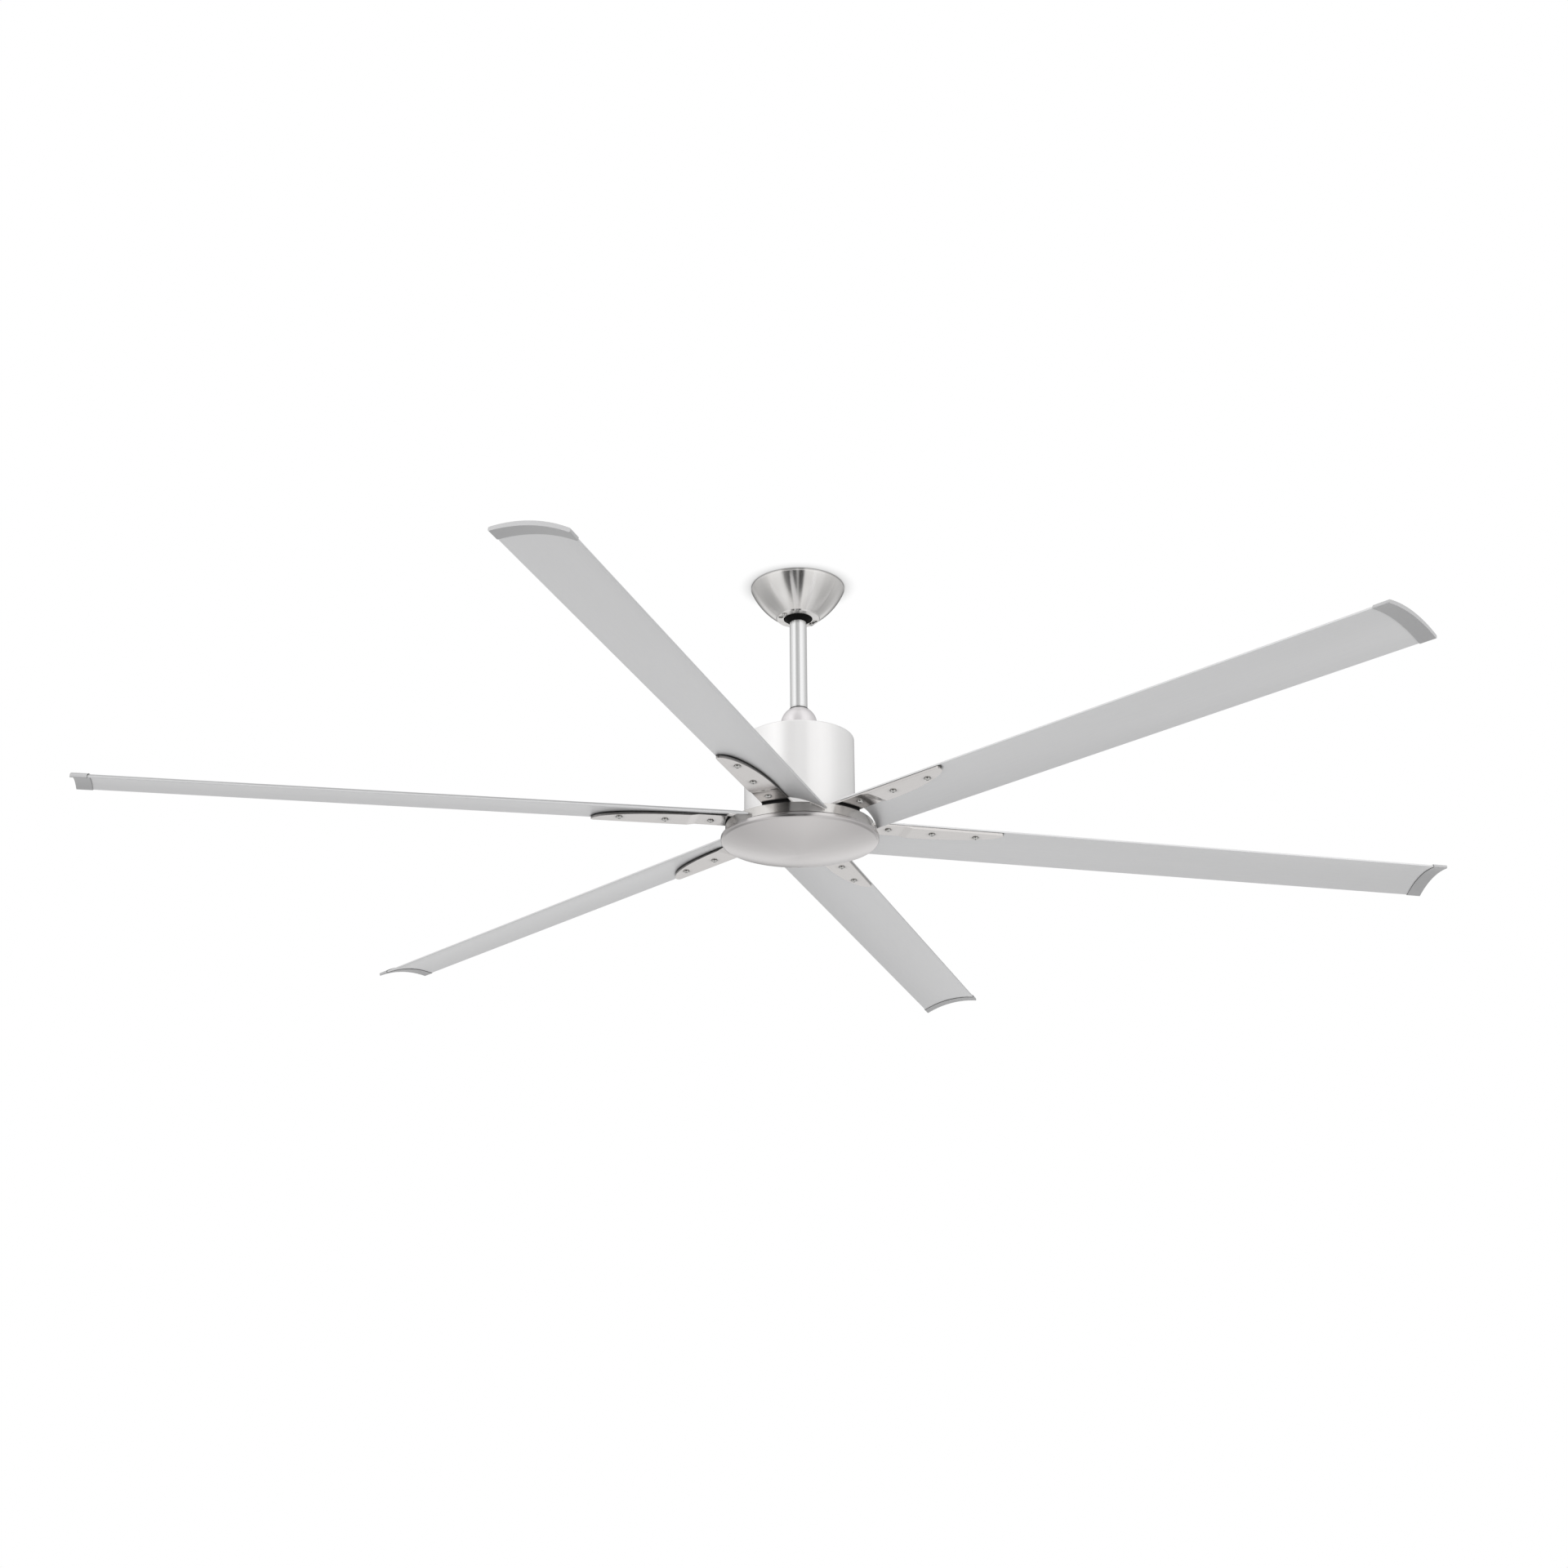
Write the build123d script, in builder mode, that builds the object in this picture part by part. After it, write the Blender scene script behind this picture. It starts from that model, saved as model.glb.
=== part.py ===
from build123d import *
import os
from math import copysign, cos, radians, sin, sqrt, tan

# Six-blade ceiling fan. Millimetres, +Z up. The origin is on the fan's axis in the ceiling plane,
# so everything hangs at negative z. A blade at angle zero points along +X, leading edge to -Y.

# Driving dimensions: overall
tip_radius = 1065.0
housing_drop = 260.2
housing_radius = 85.3
housing_height = 139.4
blade_count = 6
blade_phase = 12.7

# Fits shared by every piece
fit = 0.1
seat_gap = 0.05
overrun = 4.0

# Screw sizes: shank radius, head radius and head height
m4 = (2.0, 3.6, 2.6)
m5 = (2.5, 4.8, 2.6)
m6 = (3.0, 5.2, 3.6)
head_taper = 20

# Canopy and its fixing
canopy_radius = 74.0
canopy_height = 54.2
canopy_wall = 1.2
canopy_rim = 4.0
canopy_foot_radius = 34.6
canopy_foot_depth = 2.2
canopy_opening = 22.8
canopy_belly_share = 0.79
canopy_belly_height_share = 0.553
keyhole_radius = 28.2
keyhole_angle = 42.0
keyhole_sweep = -24.0
keyhole_head_clearance = 0.5
canopy_screw_depth = 7.0

# Hanger bracket and ball
bracket_sheet = 2.5
bracket_length = 112.0
bracket_width = 40.0
bracket_corner = 5.0
slot_spacing = 82.0
slot_length = 14.0
slot_width = 6.0
cable_hole_radius = 10.0
socket_height = 8.0
socket_lip = 0.6
socket_foot_clearance = 0.6
socket_shoulder = 7.0
socket_outer = 35.5
leg_width = 20.0
ball_radius = 26.0
ball_drop = 39.0
ball_top = 13.0
ball_bottom = 21.5
groove_width = 5.0
groove_depth = 4.5
groove_clearance = 0.5

# Rod, its pins and the seal
rod_radius = 13.35
rod_wall = 2.6
rod_above_ball = 11.0
pin_radius = 3.0
pin_head_radius = 4.5
pin_head_height = 2.0
pin_tail = 5.0
ball_pin_below_rod_top = 5.0
ball_pin_length = 40.0
ball_screw_length = 9.0
ball_screw_drop = 5.0
seal_height = 2.0
seal_width = 1.8
connector_length = 24.0
connector_width = 12.0
connector_height = 12.0
lead_radius = 1.0
lead_clearance = 0.2
terminal_length = 28.0
terminal_width = 15.0
terminal_height = 10.0
terminal_offset = 20.0

# Yoke and coupling cover, above the housing
cover_height = 49.2
cover_dome = 28.3
cover_foot = 29.5
cover_wall = 1.2
cover_top_clearance = 1.3
yoke_radius = 19.5
yoke_height = 34.0
yoke_flange_radius = 27.0
yoke_flange_height = 4.0
yoke_socket_floor = 16.2
yoke_web = 2.0
yoke_pin_above_floor = 9.0
yoke_screw_radius = 23.2
yoke_screw_count = 3
yoke_screw_angle = 30.0
set_screw_radius = 3.0
set_screw_length = 7.0
clip_wire = 0.8
clip_leg = 13.0

# Motor housing, shaft and bearings
housing_wall = 1.6
housing_top_wall = 2.0
housing_edge = 3.0
shaft_radius = 8.5
shaft_bore = 5.5
shaft_flange_height = 4.8
shaft_chamfer = 0.8
shaft_below_plate = 6.0
shaft_flange_radius = 27.0
shaft_shoulder_radius = 11.0
shaft_shoulder_height = 2.0
shaft_seat_overlap = 3.0
nut_height = 5.0
bearing_outer = 20.0
bearing_width = 12.0
bearing_ring = 4.0
bearing_lip = 3.5
bearing_lip_overlap = 3.0
bearing_ball = 2.4
bearing_ball_count = 7

# Rotor shell and magnets
shell_gap = 5.7
shell_wall = 4.0
shell_top_wall = 5.0
shell_boss_height = 3.0
shell_flange_clearance = 3.0
shell_flange_height = 3.0
shell_window_radius = 11.0
shell_screw_count = 6
shell_screw_angle = 30.0
magnet_thickness = 3.0
magnet_count = 16
magnet_gap_angle = 2.5
air_gap = 1.0

# Stator
core_height = 50.0
core_centre_above_hub = 59.0
tooth_count = 12
tooth_width = 9.0
tooth_tip_height = 4.0
tooth_tip_angle = 22.0
core_bore_share = 12 / 35
core_back = 12.0
coil_width = 4.5
coil_back_gap = 4.0
insulator_thickness = 1.2

# Hub ring under the housing
hub_clearance = 4.4
hub_land = 29.0
hub_height = 15.5
hub_web = 8.0
hub_rim = 16.3
hub_boss = 26.0
hub_edge = 1.0
hub_bolt_depth = 12.0
pad_clearance = 7.7
gasket_height = 3.1

# Blade brackets, measured from the radial line. The screws lie nearer to the leading edge
bracket_lead = 24.5
bracket_trail = 19.5
plate_thickness = 4.0
step_height = 2.25
ramp_length = 12.0
bend_radius = 16.0
first_screw_inset = 19.0
screw_spacing = 70.0
screws_per_blade = 3
screw_lead = 5.5
ramp_inset = 22.0
fin_inset = 27.0
fin_length = 155.0
fin_tip_radius = 4.0
screw_boss_radius = 7.0
bolt_spread = 12.5

# Blades and end caps
blade_chord = 98.5
blade_camber = 8.0
blade_edge_thickness = 3.2
blade_middle_thickness = 3.8
blade_edge_radius = 0.9
blade_skin = 1.1
blade_pitch = 10.05
blade_droop = 0.683
blade_set_back = 23.06
blade_edge_above_bracket = 0.15
root_gap = 4.7
blade_screw_depth = 2.8
end_cap_length = 23.0
end_cap_wall = 1.0
end_cap_end = 2.5
end_cap_edge = 0.6
blade_root_angle = 45.0
chamber_shares = ((-0.94, -0.76), (-0.42, 0.12), (0.16, 0.55), (0.59, 0.92))

# Bottom cap, its plate and the electronics on it
cap_overhang = 6.9
cap_gap = 2.5
cap_wall = 1.4
cap_shoulder = 5.5
cap_side = 7.0
cap_height = 27.5
cap_plate_drop = 2.0
cap_plate_thickness = 2.0
cap_plate_rim = 9.2
cap_tongue = 5.5
cap_tongue_angle = 18.0
cap_tongue_count = 3
cap_lug_thickness = 1.5
cap_plate_hub = 12.0
nut_across_flats = 24.0
board_length = 96.0
board_width = 64.0
board_thickness = 1.6
board_drop = 10.0
standoff_radius = 3.0
standoff_pin = 1.5
chip_side = 12.0
standoff_inset = 6.0
capacitor_radius = 4.0
capacitor_length = 22.0
heat_sink_length = 28.0
heat_sink_width = 14.0
heat_sink_base = 2.0
heat_sink_fin = 5.0
heat_sink_fins = 5
receiver_length = 30.0
receiver_width = 20.0
receiver_height = 6.0

# Heights worked out from the driving dimensions
ball_z = -ball_drop
canopy_floor = -canopy_height + canopy_wall
rod_top = ball_z + rod_above_ball
housing_top = -housing_drop
housing_bottom = housing_top - housing_height
cover_top = housing_top + cover_height
rod_bottom = housing_top + yoke_socket_floor
yoke_pin_z = rod_bottom + yoke_pin_above_floor
yoke_top = housing_top + yoke_height
hub_top = housing_bottom - hub_clearance
hub_bottom = hub_top - hub_height
pad_bottom = hub_top + gasket_height
core_middle = hub_top + core_centre_above_hub
cap_top = hub_bottom - cap_gap
plate_top = cap_top - cap_plate_drop
plate_bottom = plate_top - cap_plate_thickness
shaft_end = plate_bottom - shaft_below_plate
shaft_top = rod_bottom - yoke_web
shaft_screw_z = (housing_top + yoke_flange_height + shaft_top) / 2
shaft_flange_bottom = housing_top - housing_top_wall - shaft_flange_height
upper_bearing_top = shaft_flange_bottom - shaft_shoulder_height
upper_bearing_bottom = upper_bearing_top - bearing_width
shell_top = upper_bearing_top - shell_boss_height
core_bottom = core_middle - core_height / 2
core_top = core_middle + core_height / 2
board_top = plate_bottom - board_drop

# Radii worked out from the driving dimensions
ring_radius = housing_radius + hub_land
pad_radius = housing_radius + pad_clearance
bolt_radius = (pad_radius + ring_radius) / 2
root_radius = ring_radius + root_gap
cap_radius = ring_radius + cap_overhang
shell_radius = housing_radius - housing_wall - shell_gap
magnet_outer = shell_radius - shell_wall
core_radius = magnet_outer - magnet_thickness - air_gap
core_inner = core_radius * core_bore_share
shell_flange_radius = pad_radius - shell_flange_clearance
shell_screw_radius = (shell_radius + shell_flange_radius) / 2
cap_plate_radius = cap_radius - cap_plate_rim
bearing_pitch = (shaft_radius + bearing_outer) / 2
lower_bearing_top = hub_top - bearing_lip

# Stations along a blade, from the fan's axis
screw_stations = [root_radius + first_screw_inset + screw_spacing * n for n in range(screws_per_blade)]
ramp_start = screw_stations[0] + ramp_inset
ramp_end = ramp_start + ramp_length
fin_start = screw_stations[0] + fin_inset
fin_end = fin_start + fin_length
pad_middle = (bracket_trail - bracket_lead) / 2
bolt_sides = [pad_middle - bolt_spread, pad_middle + bolt_spread]
blade_angles = [blade_phase + 360 / blade_count * n for n in range(blade_count)]
hub_bolt_places = [
    (
        bolt_radius * cos(radians(angle)) - side * sin(radians(angle)),
        bolt_radius * sin(radians(angle)) + side * cos(radians(angle)),
    )
    for angle in blade_angles
    for side in bolt_sides
]

# The blade's chord line at the axis, set so that the leading edge just clears the bracket plate
droop_slope = tan(radians(blade_droop))
half_chord = blade_chord / 2
plate_level = pad_bottom - step_height + droop_slope * ramp_end
lead_level = plate_level + plate_thickness + blade_edge_above_bracket
chord_level = lead_level - half_chord * sin(radians(blade_pitch))
chord_direction = Vector(0, cos(radians(blade_pitch)), -sin(radians(blade_pitch)))
blade_direction = Vector(cos(radians(blade_droop)), 0, -sin(radians(blade_droop)))


def blade_plane(station):
    """The plane of the blade's section at a distance from the fan's axis, x along the chord."""
    origin = (station, blade_set_back, chord_level - droop_slope * station)
    return Plane(origin=origin, x_dir=chord_direction, z_dir=blade_direction)


def plate_bottom_at(station):
    """Height of the bracket plate's underside, which droops with the blade."""
    return plate_level - droop_slope * station


def blade_underside_at(station, side):
    """Height of the blade's underside at a place across the blade, on the vertical through it."""
    along = (side - blade_set_back) / cos(radians(blade_pitch))
    arch = blade_camber * (1 - (along / half_chord) ** 2)
    chord = chord_level - droop_slope * station - along * sin(radians(blade_pitch))
    return chord + arch / cos(radians(blade_pitch))


def tube(outer, inner, low, high, mode=Mode.ADD):
    """An upright tube about the axis, or a disc where the inner radius is zero."""
    with BuildSketch(Plane.XY.offset(low)) as ring:
        Circle(outer)
        if inner > 0:
            Circle(inner, mode=Mode.SUBTRACT)
    extrude(ring.sketch, amount=high - low, mode=mode)


def posts(places, radius, low, high, mode=Mode.ADD):
    """Upright round posts or holes at places (x, y)."""
    with BuildSketch(Plane.XY.offset(low)) as rounds:
        with Locations(*places):
            Circle(radius)
    extrude(rounds.sketch, amount=high - low, mode=mode)


def screws(plane, places, size, length):
    """Pan head screws seated on a plane. They point along its normal, or against it if length < 0."""
    shank, head, head_height = size
    with BuildSketch(plane) as shanks:
        with Locations(*places):
            Circle(shank)
    extrude(shanks.sketch, amount=length)
    with BuildSketch(plane) as heads:
        with Locations(*places):
            Circle(head)
    extrude(heads.sketch, amount=-copysign(head_height, length), taper=head_taper)


def sectors(outer, inner, sweep, count, low, high, mode=Mode.ADD):
    """Arched blocks evenly round the axis, each as wide as the sweep in degrees."""
    half = radians(sweep / 2)
    reach = 2 * outer
    with BuildSketch(mode=Mode.PRIVATE) as block:
        Circle(outer)
        Circle(inner, mode=Mode.SUBTRACT)
        with BuildLine() as wedge:
            Polyline(
                (0, 0),
                (reach * cos(half), -reach * sin(half)),
                (reach * cos(half), reach * sin(half)),
                close=True,
            )
        make_face(wedge.edges(), mode=Mode.INTERSECT)
    with BuildSketch(Plane.XY.offset(low)) as plan:
        with PolarLocations(0, count):
            add(block.sketch)
    extrude(plan.sketch, amount=high - low, mode=mode)


def around(radius, count, start=0.0):
    """Places evenly round the axis."""
    angles = [radians(start + 360 / count * n) for n in range(count)]
    return [(radius * cos(a), radius * sin(a)) for a in angles]


def blade_outline(grow, mode=Mode.ADD):
    """The arched blade section, made larger all round by a length; negative makes it smaller."""
    edge = half_chord + grow
    low_middle = blade_camber - grow
    high_edge = blade_edge_thickness + grow
    high_middle = blade_camber + blade_middle_thickness + grow
    with BuildLine() as outline:
        ThreePointArc((-edge, -grow), (0, low_middle), (edge, -grow))
        Line((edge, -grow), (edge, high_edge))
        ThreePointArc((edge, high_edge), (0, high_middle), (-edge, high_edge))
        Line((-edge, high_edge), (-edge, -grow))
    make_face(outline.edges(), mode=mode)


def screw_plane(station):
    """Seat of a blade screw: flat under the pad, drooping with the plate further out."""
    if station < ramp_start:
        return Plane.XY.offset(pad_bottom).shift_origin((station, -screw_lead, pad_bottom))
    normal = (sin(radians(blade_droop)), 0, cos(radians(blade_droop)))
    return Plane(origin=(station, -screw_lead, plate_bottom_at(station)), x_dir=(0, 1, 0), z_dir=normal)


def blade_screw_end(station):
    """Length of a blade screw from its seat to its end inside the blade's land."""
    return blade_underside_at(station, -screw_lead) - screw_plane(station).origin.Z + blade_screw_depth


housing_screw_places = around(yoke_screw_radius, yoke_screw_count, yoke_screw_angle)
shell_screw_places = around(shell_screw_radius, shell_screw_count, shell_screw_angle)
shell_window_places = around((hub_boss + magnet_outer) / 2, shell_screw_count)

os.makedirs("parts", exist_ok=True)


# Hanger bracket: slotted top plate, two legs and a socket that is open towards -Y for the rod
socket_bottom = canopy_floor
socket_foot = canopy_foot_radius - 2 * canopy_wall - socket_foot_clearance
leg_inner = socket_outer - bracket_sheet
keyhole_places = around(keyhole_radius, 2, keyhole_angle)
earth_place = (-terminal_offset, 0)

with BuildPart() as hanger_bracket:
    with BuildSketch():
        RectangleRounded(bracket_length, bracket_width, bracket_corner)
        with Locations((slot_spacing / 2, 0), (-slot_spacing / 2, 0)):
            SlotOverall(slot_length, slot_width, mode=Mode.SUBTRACT)
        Circle(cable_hole_radius, mode=Mode.SUBTRACT)
        with Locations(earth_place):
            Circle(m4[0] + fit, mode=Mode.SUBTRACT)
    extrude(amount=-bracket_sheet)
    with BuildSketch(Plane.XY.offset(socket_bottom + socket_shoulder)):
        with Locations((leg_inner + bracket_sheet / 2, 0), (-leg_inner - bracket_sheet / 2, 0)):
            Rectangle(bracket_sheet, leg_width)
    extrude(amount=-bracket_sheet - socket_bottom - socket_shoulder)
    with BuildSketch(Plane.XZ):
        with BuildLine():
            Polyline(
                (canopy_opening + socket_lip, socket_bottom),
                (socket_foot, socket_bottom),
                (socket_outer, socket_bottom + socket_shoulder),
                (socket_outer, socket_bottom + socket_height),
                (canopy_opening + socket_lip, socket_bottom + socket_height),
                close=True,
            )
        make_face()
    revolve(axis=Axis.Z)
    with Locations((0, 0, ball_z)):
        Sphere(ball_radius + fit, mode=Mode.SUBTRACT)
    with BuildSketch(Plane.XY.offset(socket_bottom - overrun)):
        with Locations((0, -socket_outer)):
            Rectangle(2 * (rod_radius + seal_width), 2 * socket_outer)
    extrude(amount=socket_height + 2 * overrun, mode=Mode.SUBTRACT)
    with BuildSketch(Plane.XY.offset(socket_bottom + socket_height / 2)):
        with Locations((0, socket_outer)):
            Rectangle(
                groove_width - 2 * groove_clearance,
                2 * (socket_outer - ball_radius + groove_depth - groove_clearance),
            )
        Circle(socket_outer, mode=Mode.INTERSECT)
    extrude(amount=socket_height / 2)
    posts(keyhole_places, m4[0] + fit, socket_bottom - overrun, socket_bottom + socket_height,
          Mode.SUBTRACT)
hanger_bracket.part.label = "hanger_bracket"
export_step(hanger_bracket.part, "parts/hanger_bracket.step")


def canopy_profile(inset):
    """Half section of the canopy's bowl down to its foot, moved inwards by a length."""
    rim = canopy_radius - inset
    foot = canopy_foot_radius - inset
    floor = -canopy_height + inset
    crease = floor + canopy_foot_depth
    belly = (canopy_radius * canopy_belly_share - inset, -canopy_height * canopy_belly_height_share)
    with BuildLine() as outline:
        Line((0, 0), (rim, 0))
        Line((rim, 0), (rim, -canopy_rim))
        ThreePointArc((rim, -canopy_rim), belly, (foot, crease))
        Line((foot, crease), (foot - canopy_wall, floor))
        Line((foot - canopy_wall, floor), (0, floor))
        Line((0, floor), (0, 0))
    make_face(outline.edges())


# Canopy: spun bowl with a pressed foot, a round opening and two keyhole slots
with BuildPart() as canopy:
    with BuildSketch(Plane.XZ):
        canopy_profile(0)
    revolve(axis=Axis.Z)
    with BuildSketch(Plane.XZ):
        canopy_profile(canopy_wall)
    revolve(axis=Axis.Z, mode=Mode.SUBTRACT)
    tube(canopy_opening, 0, -canopy_height - overrun, -canopy_height / 2, Mode.SUBTRACT)
    with BuildSketch(Plane.XY.offset(-canopy_height - overrun)):
        for side in (0, 180):
            start = keyhole_angle + side
            SlotArc(
                CenterArc((0, 0), keyhole_radius, start, keyhole_sweep),
                2 * (m4[0] + fit),
            )
            with PolarLocations(keyhole_radius, 1, start + keyhole_sweep):
                Circle(m4[1] + keyhole_head_clearance)
    extrude(amount=canopy_height / 2, mode=Mode.SUBTRACT)
canopy.part.label = "canopy"
export_step(canopy.part, "parts/canopy.step")

with BuildPart() as canopy_screws:
    screws(Plane.XY.offset(-canopy_height), keyhole_places, m4, canopy_wall + canopy_screw_depth)
canopy_screws.part.label = "canopy_screws"
export_step(canopy_screws.part, "parts/canopy_screws.step")

# Terminal block under the top plate, with its three clamps
with BuildPart() as terminal_block:
    with BuildSketch(Plane.XY.offset(-bracket_sheet)):
        with Locations((terminal_offset, 0)):
            Rectangle(terminal_width, terminal_length)
    extrude(amount=-terminal_height)
    with BuildSketch(Plane.XY.offset(-bracket_sheet - terminal_height)):
        with Locations((terminal_offset, 0)):
            with GridLocations(terminal_width, terminal_length / 3, 1, 3):
                Circle(terminal_length / 9)
    extrude(amount=terminal_height / 3, mode=Mode.SUBTRACT)
terminal_block.part.label = "terminal_block"
export_step(terminal_block.part, "parts/terminal_block.step")

with BuildPart() as earth_screw:
    screws(Plane.XY.offset(-bracket_sheet), [earth_place], m4, bracket_sheet)
earth_screw.part.label = "earth_screw"
export_step(earth_screw.part, "parts/earth_screw.step")

# Hanger ball with a bore for the rod, a groove for the socket's tab and a notch for the cross pin
ball_pin_z = rod_top - ball_pin_below_rod_top
ball_screw_z = ball_z - ball_screw_drop

with BuildPart() as hanger_ball:
    with Locations((0, 0, ball_z)):
        Sphere(ball_radius)
    with BuildSketch(Plane.XY.offset(ball_z - ball_bottom)):
        Circle(ball_radius)
    extrude(amount=ball_bottom + ball_top, mode=Mode.INTERSECT)
    tube(rod_radius + fit, 0, ball_z - ball_radius, ball_z + ball_radius, Mode.SUBTRACT)
    with BuildSketch(Plane.YZ):
        with Locations((0, ball_z)):
            Circle(ball_radius + overrun)
            Circle(ball_radius - groove_depth, mode=Mode.SUBTRACT)
        with Locations((-ball_radius, ball_z)):
            Rectangle(2 * ball_radius, 2 * ball_radius + 2 * overrun, mode=Mode.SUBTRACT)
    extrude(amount=groove_width / 2, both=True, mode=Mode.SUBTRACT)
    with BuildSketch(Plane.XZ):
        with Locations((0, ball_pin_z)):
            Circle(pin_radius + fit)
        with Locations((0, ball_pin_z + ball_radius / 2)):
            Rectangle(2 * (pin_radius + fit), ball_radius)
    extrude(amount=ball_pin_length / 2 + fit, both=True, mode=Mode.SUBTRACT)
    with BuildSketch(Plane.XZ):
        with Locations((0, ball_screw_z)):
            Circle(set_screw_radius + fit)
    extrude(amount=ball_radius, mode=Mode.SUBTRACT)
hanger_ball.part.label = "hanger_ball"
export_step(hanger_ball.part, "parts/hanger_ball.step")

with BuildPart() as ball_pin:
    with BuildSketch(Plane.XZ):
        with Locations((0, ball_pin_z)):
            Circle(pin_radius)
    extrude(amount=ball_pin_length / 2, both=True)
    chamfer(ball_pin.edges().filter_by(GeomType.CIRCLE), length=pin_radius / 6)
ball_pin.part.label = "ball_pin"
export_step(ball_pin.part, "parts/ball_pin.step")

with BuildPart() as ball_set_screw:
    with BuildSketch(Plane.XZ.offset(rod_radius + fit)):
        with Locations((0, ball_screw_z)):
            Circle(set_screw_radius)
    extrude(amount=ball_screw_length)
    with BuildSketch(Plane.XZ.offset(rod_radius + fit + ball_screw_length)):
        with Locations((0, ball_screw_z)):
            RegularPolygon(set_screw_radius / 2, 6)
    extrude(amount=-ball_screw_length / 3, mode=Mode.SUBTRACT)
ball_set_screw.part.label = "ball_set_screw"
export_step(ball_set_screw.part, "parts/ball_set_screw.step")

# Rod with one cross hole for each pin
with BuildPart() as downrod:
    tube(rod_radius, rod_radius - rod_wall, rod_bottom, rod_top)
    with BuildSketch(Plane.XZ):
        with Locations((0, ball_pin_z), (0, yoke_pin_z)):
            Circle(pin_radius + fit)
    extrude(amount=rod_radius + overrun, both=True, mode=Mode.SUBTRACT)
downrod.part.label = "downrod"
export_step(downrod.part, "parts/downrod.step")

# Lead connector that sits on the rod's upper end
with BuildPart() as lead_connector:
    with BuildSketch(Plane.XY.offset(rod_top)):
        RectangleRounded(connector_length, connector_width, connector_width / 8)
    extrude(amount=connector_height)
    with BuildSketch(Plane.XY.offset(rod_top + connector_height)):
        with GridLocations(connector_length / 3, connector_width, 3, 1):
            Rectangle(connector_length / 5, connector_width / 2)
    extrude(amount=-connector_height / 2, mode=Mode.SUBTRACT)
lead_connector.part.label = "lead_connector"
export_step(lead_connector.part, "parts/lead_connector.step")

# Three leads from the connector, past both pins and down the hollow shaft to the driver board
lead_side = pin_radius + lead_radius + lead_clearance
lead_places = [
    (-lead_side, 0),
    (lead_side, lead_radius + lead_clearance / 2),
    (lead_side, -lead_radius - lead_clearance / 2),
]

with BuildPart() as motor_leads:
    posts(lead_places, lead_radius, board_top, rod_top)
motor_leads.part.label = "motor_leads"
export_step(motor_leads.part, "parts/motor_leads.step")

# Yoke: flange on the housing, a collar for the rod above and for the shaft below
with BuildPart() as rod_yoke:
    tube(yoke_flange_radius, 0, housing_top, housing_top + yoke_flange_height)
    tube(yoke_radius, 0, housing_top, yoke_top)
    tube(rod_radius + fit, 0, rod_bottom, yoke_top, Mode.SUBTRACT)
    tube(shaft_radius + fit, 0, housing_top, shaft_top, Mode.SUBTRACT)
    tube(shaft_bore, 0, housing_top, rod_bottom, Mode.SUBTRACT)
    posts(housing_screw_places, m4[0] + fit, housing_top, housing_top + yoke_flange_height, Mode.SUBTRACT)
    with BuildSketch(Plane.XZ):
        with Locations((0, yoke_pin_z)):
            Circle(pin_radius + fit)
    extrude(amount=yoke_radius + overrun, both=True, mode=Mode.SUBTRACT)
    with BuildSketch(Plane.YZ):
        with Locations((0, yoke_pin_z)):
            Circle(set_screw_radius + fit)
    extrude(amount=yoke_radius + overrun, mode=Mode.SUBTRACT)
    with BuildSketch(Plane.YZ):
        with Locations((0, shaft_screw_z)):
            Circle(set_screw_radius + fit)
    extrude(amount=-yoke_radius - overrun, mode=Mode.SUBTRACT)
rod_yoke.part.label = "rod_yoke"
export_step(rod_yoke.part, "parts/rod_yoke.step")

# Cross pin of the yoke, with a head at one end and a hole for the clip at the other
clip_place = yoke_radius + pin_tail / 2

with BuildPart() as yoke_pin:
    with BuildSketch(Plane.XZ.offset(yoke_radius)):
        with Locations((0, yoke_pin_z)):
            Circle(pin_radius)
    extrude(amount=-2 * yoke_radius - pin_tail)
    with BuildSketch(Plane.XZ.offset(yoke_radius)):
        with Locations((0, yoke_pin_z)):
            Circle(pin_head_radius)
    extrude(amount=pin_head_height)
    with BuildSketch(Plane.XY.offset(yoke_pin_z)):
        with Locations((0, clip_place)):
            Circle(clip_wire + fit)
    extrude(amount=pin_radius + overrun, both=True, mode=Mode.SUBTRACT)
yoke_pin.part.label = "yoke_pin"
export_step(yoke_pin.part, "parts/yoke_pin.step")

# Hairpin clip: one leg through the pin, the other round its side
clip_bow = (pin_radius + clip_wire + fit) / 2

with BuildPart() as yoke_clip:
    with BuildLine():
        Line((0, clip_place, yoke_pin_z - clip_leg / 2), (0, clip_place, yoke_pin_z + clip_leg / 2))
        ThreePointArc(
            (0, clip_place, yoke_pin_z + clip_leg / 2),
            (clip_bow, clip_place, yoke_pin_z + clip_leg / 2 + clip_bow),
            (2 * clip_bow, clip_place, yoke_pin_z + clip_leg / 2),
        )
        Line(
            (2 * clip_bow, clip_place, yoke_pin_z + clip_leg / 2),
            (2 * clip_bow, clip_place, yoke_pin_z - clip_leg / 3),
        )
    with BuildSketch(Plane.XY.offset(yoke_pin_z - clip_leg / 2)):
        with Locations((0, clip_place)):
            Circle(clip_wire)
    sweep()
yoke_clip.part.label = "yoke_clip"
export_step(yoke_clip.part, "parts/yoke_clip.step")

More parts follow.
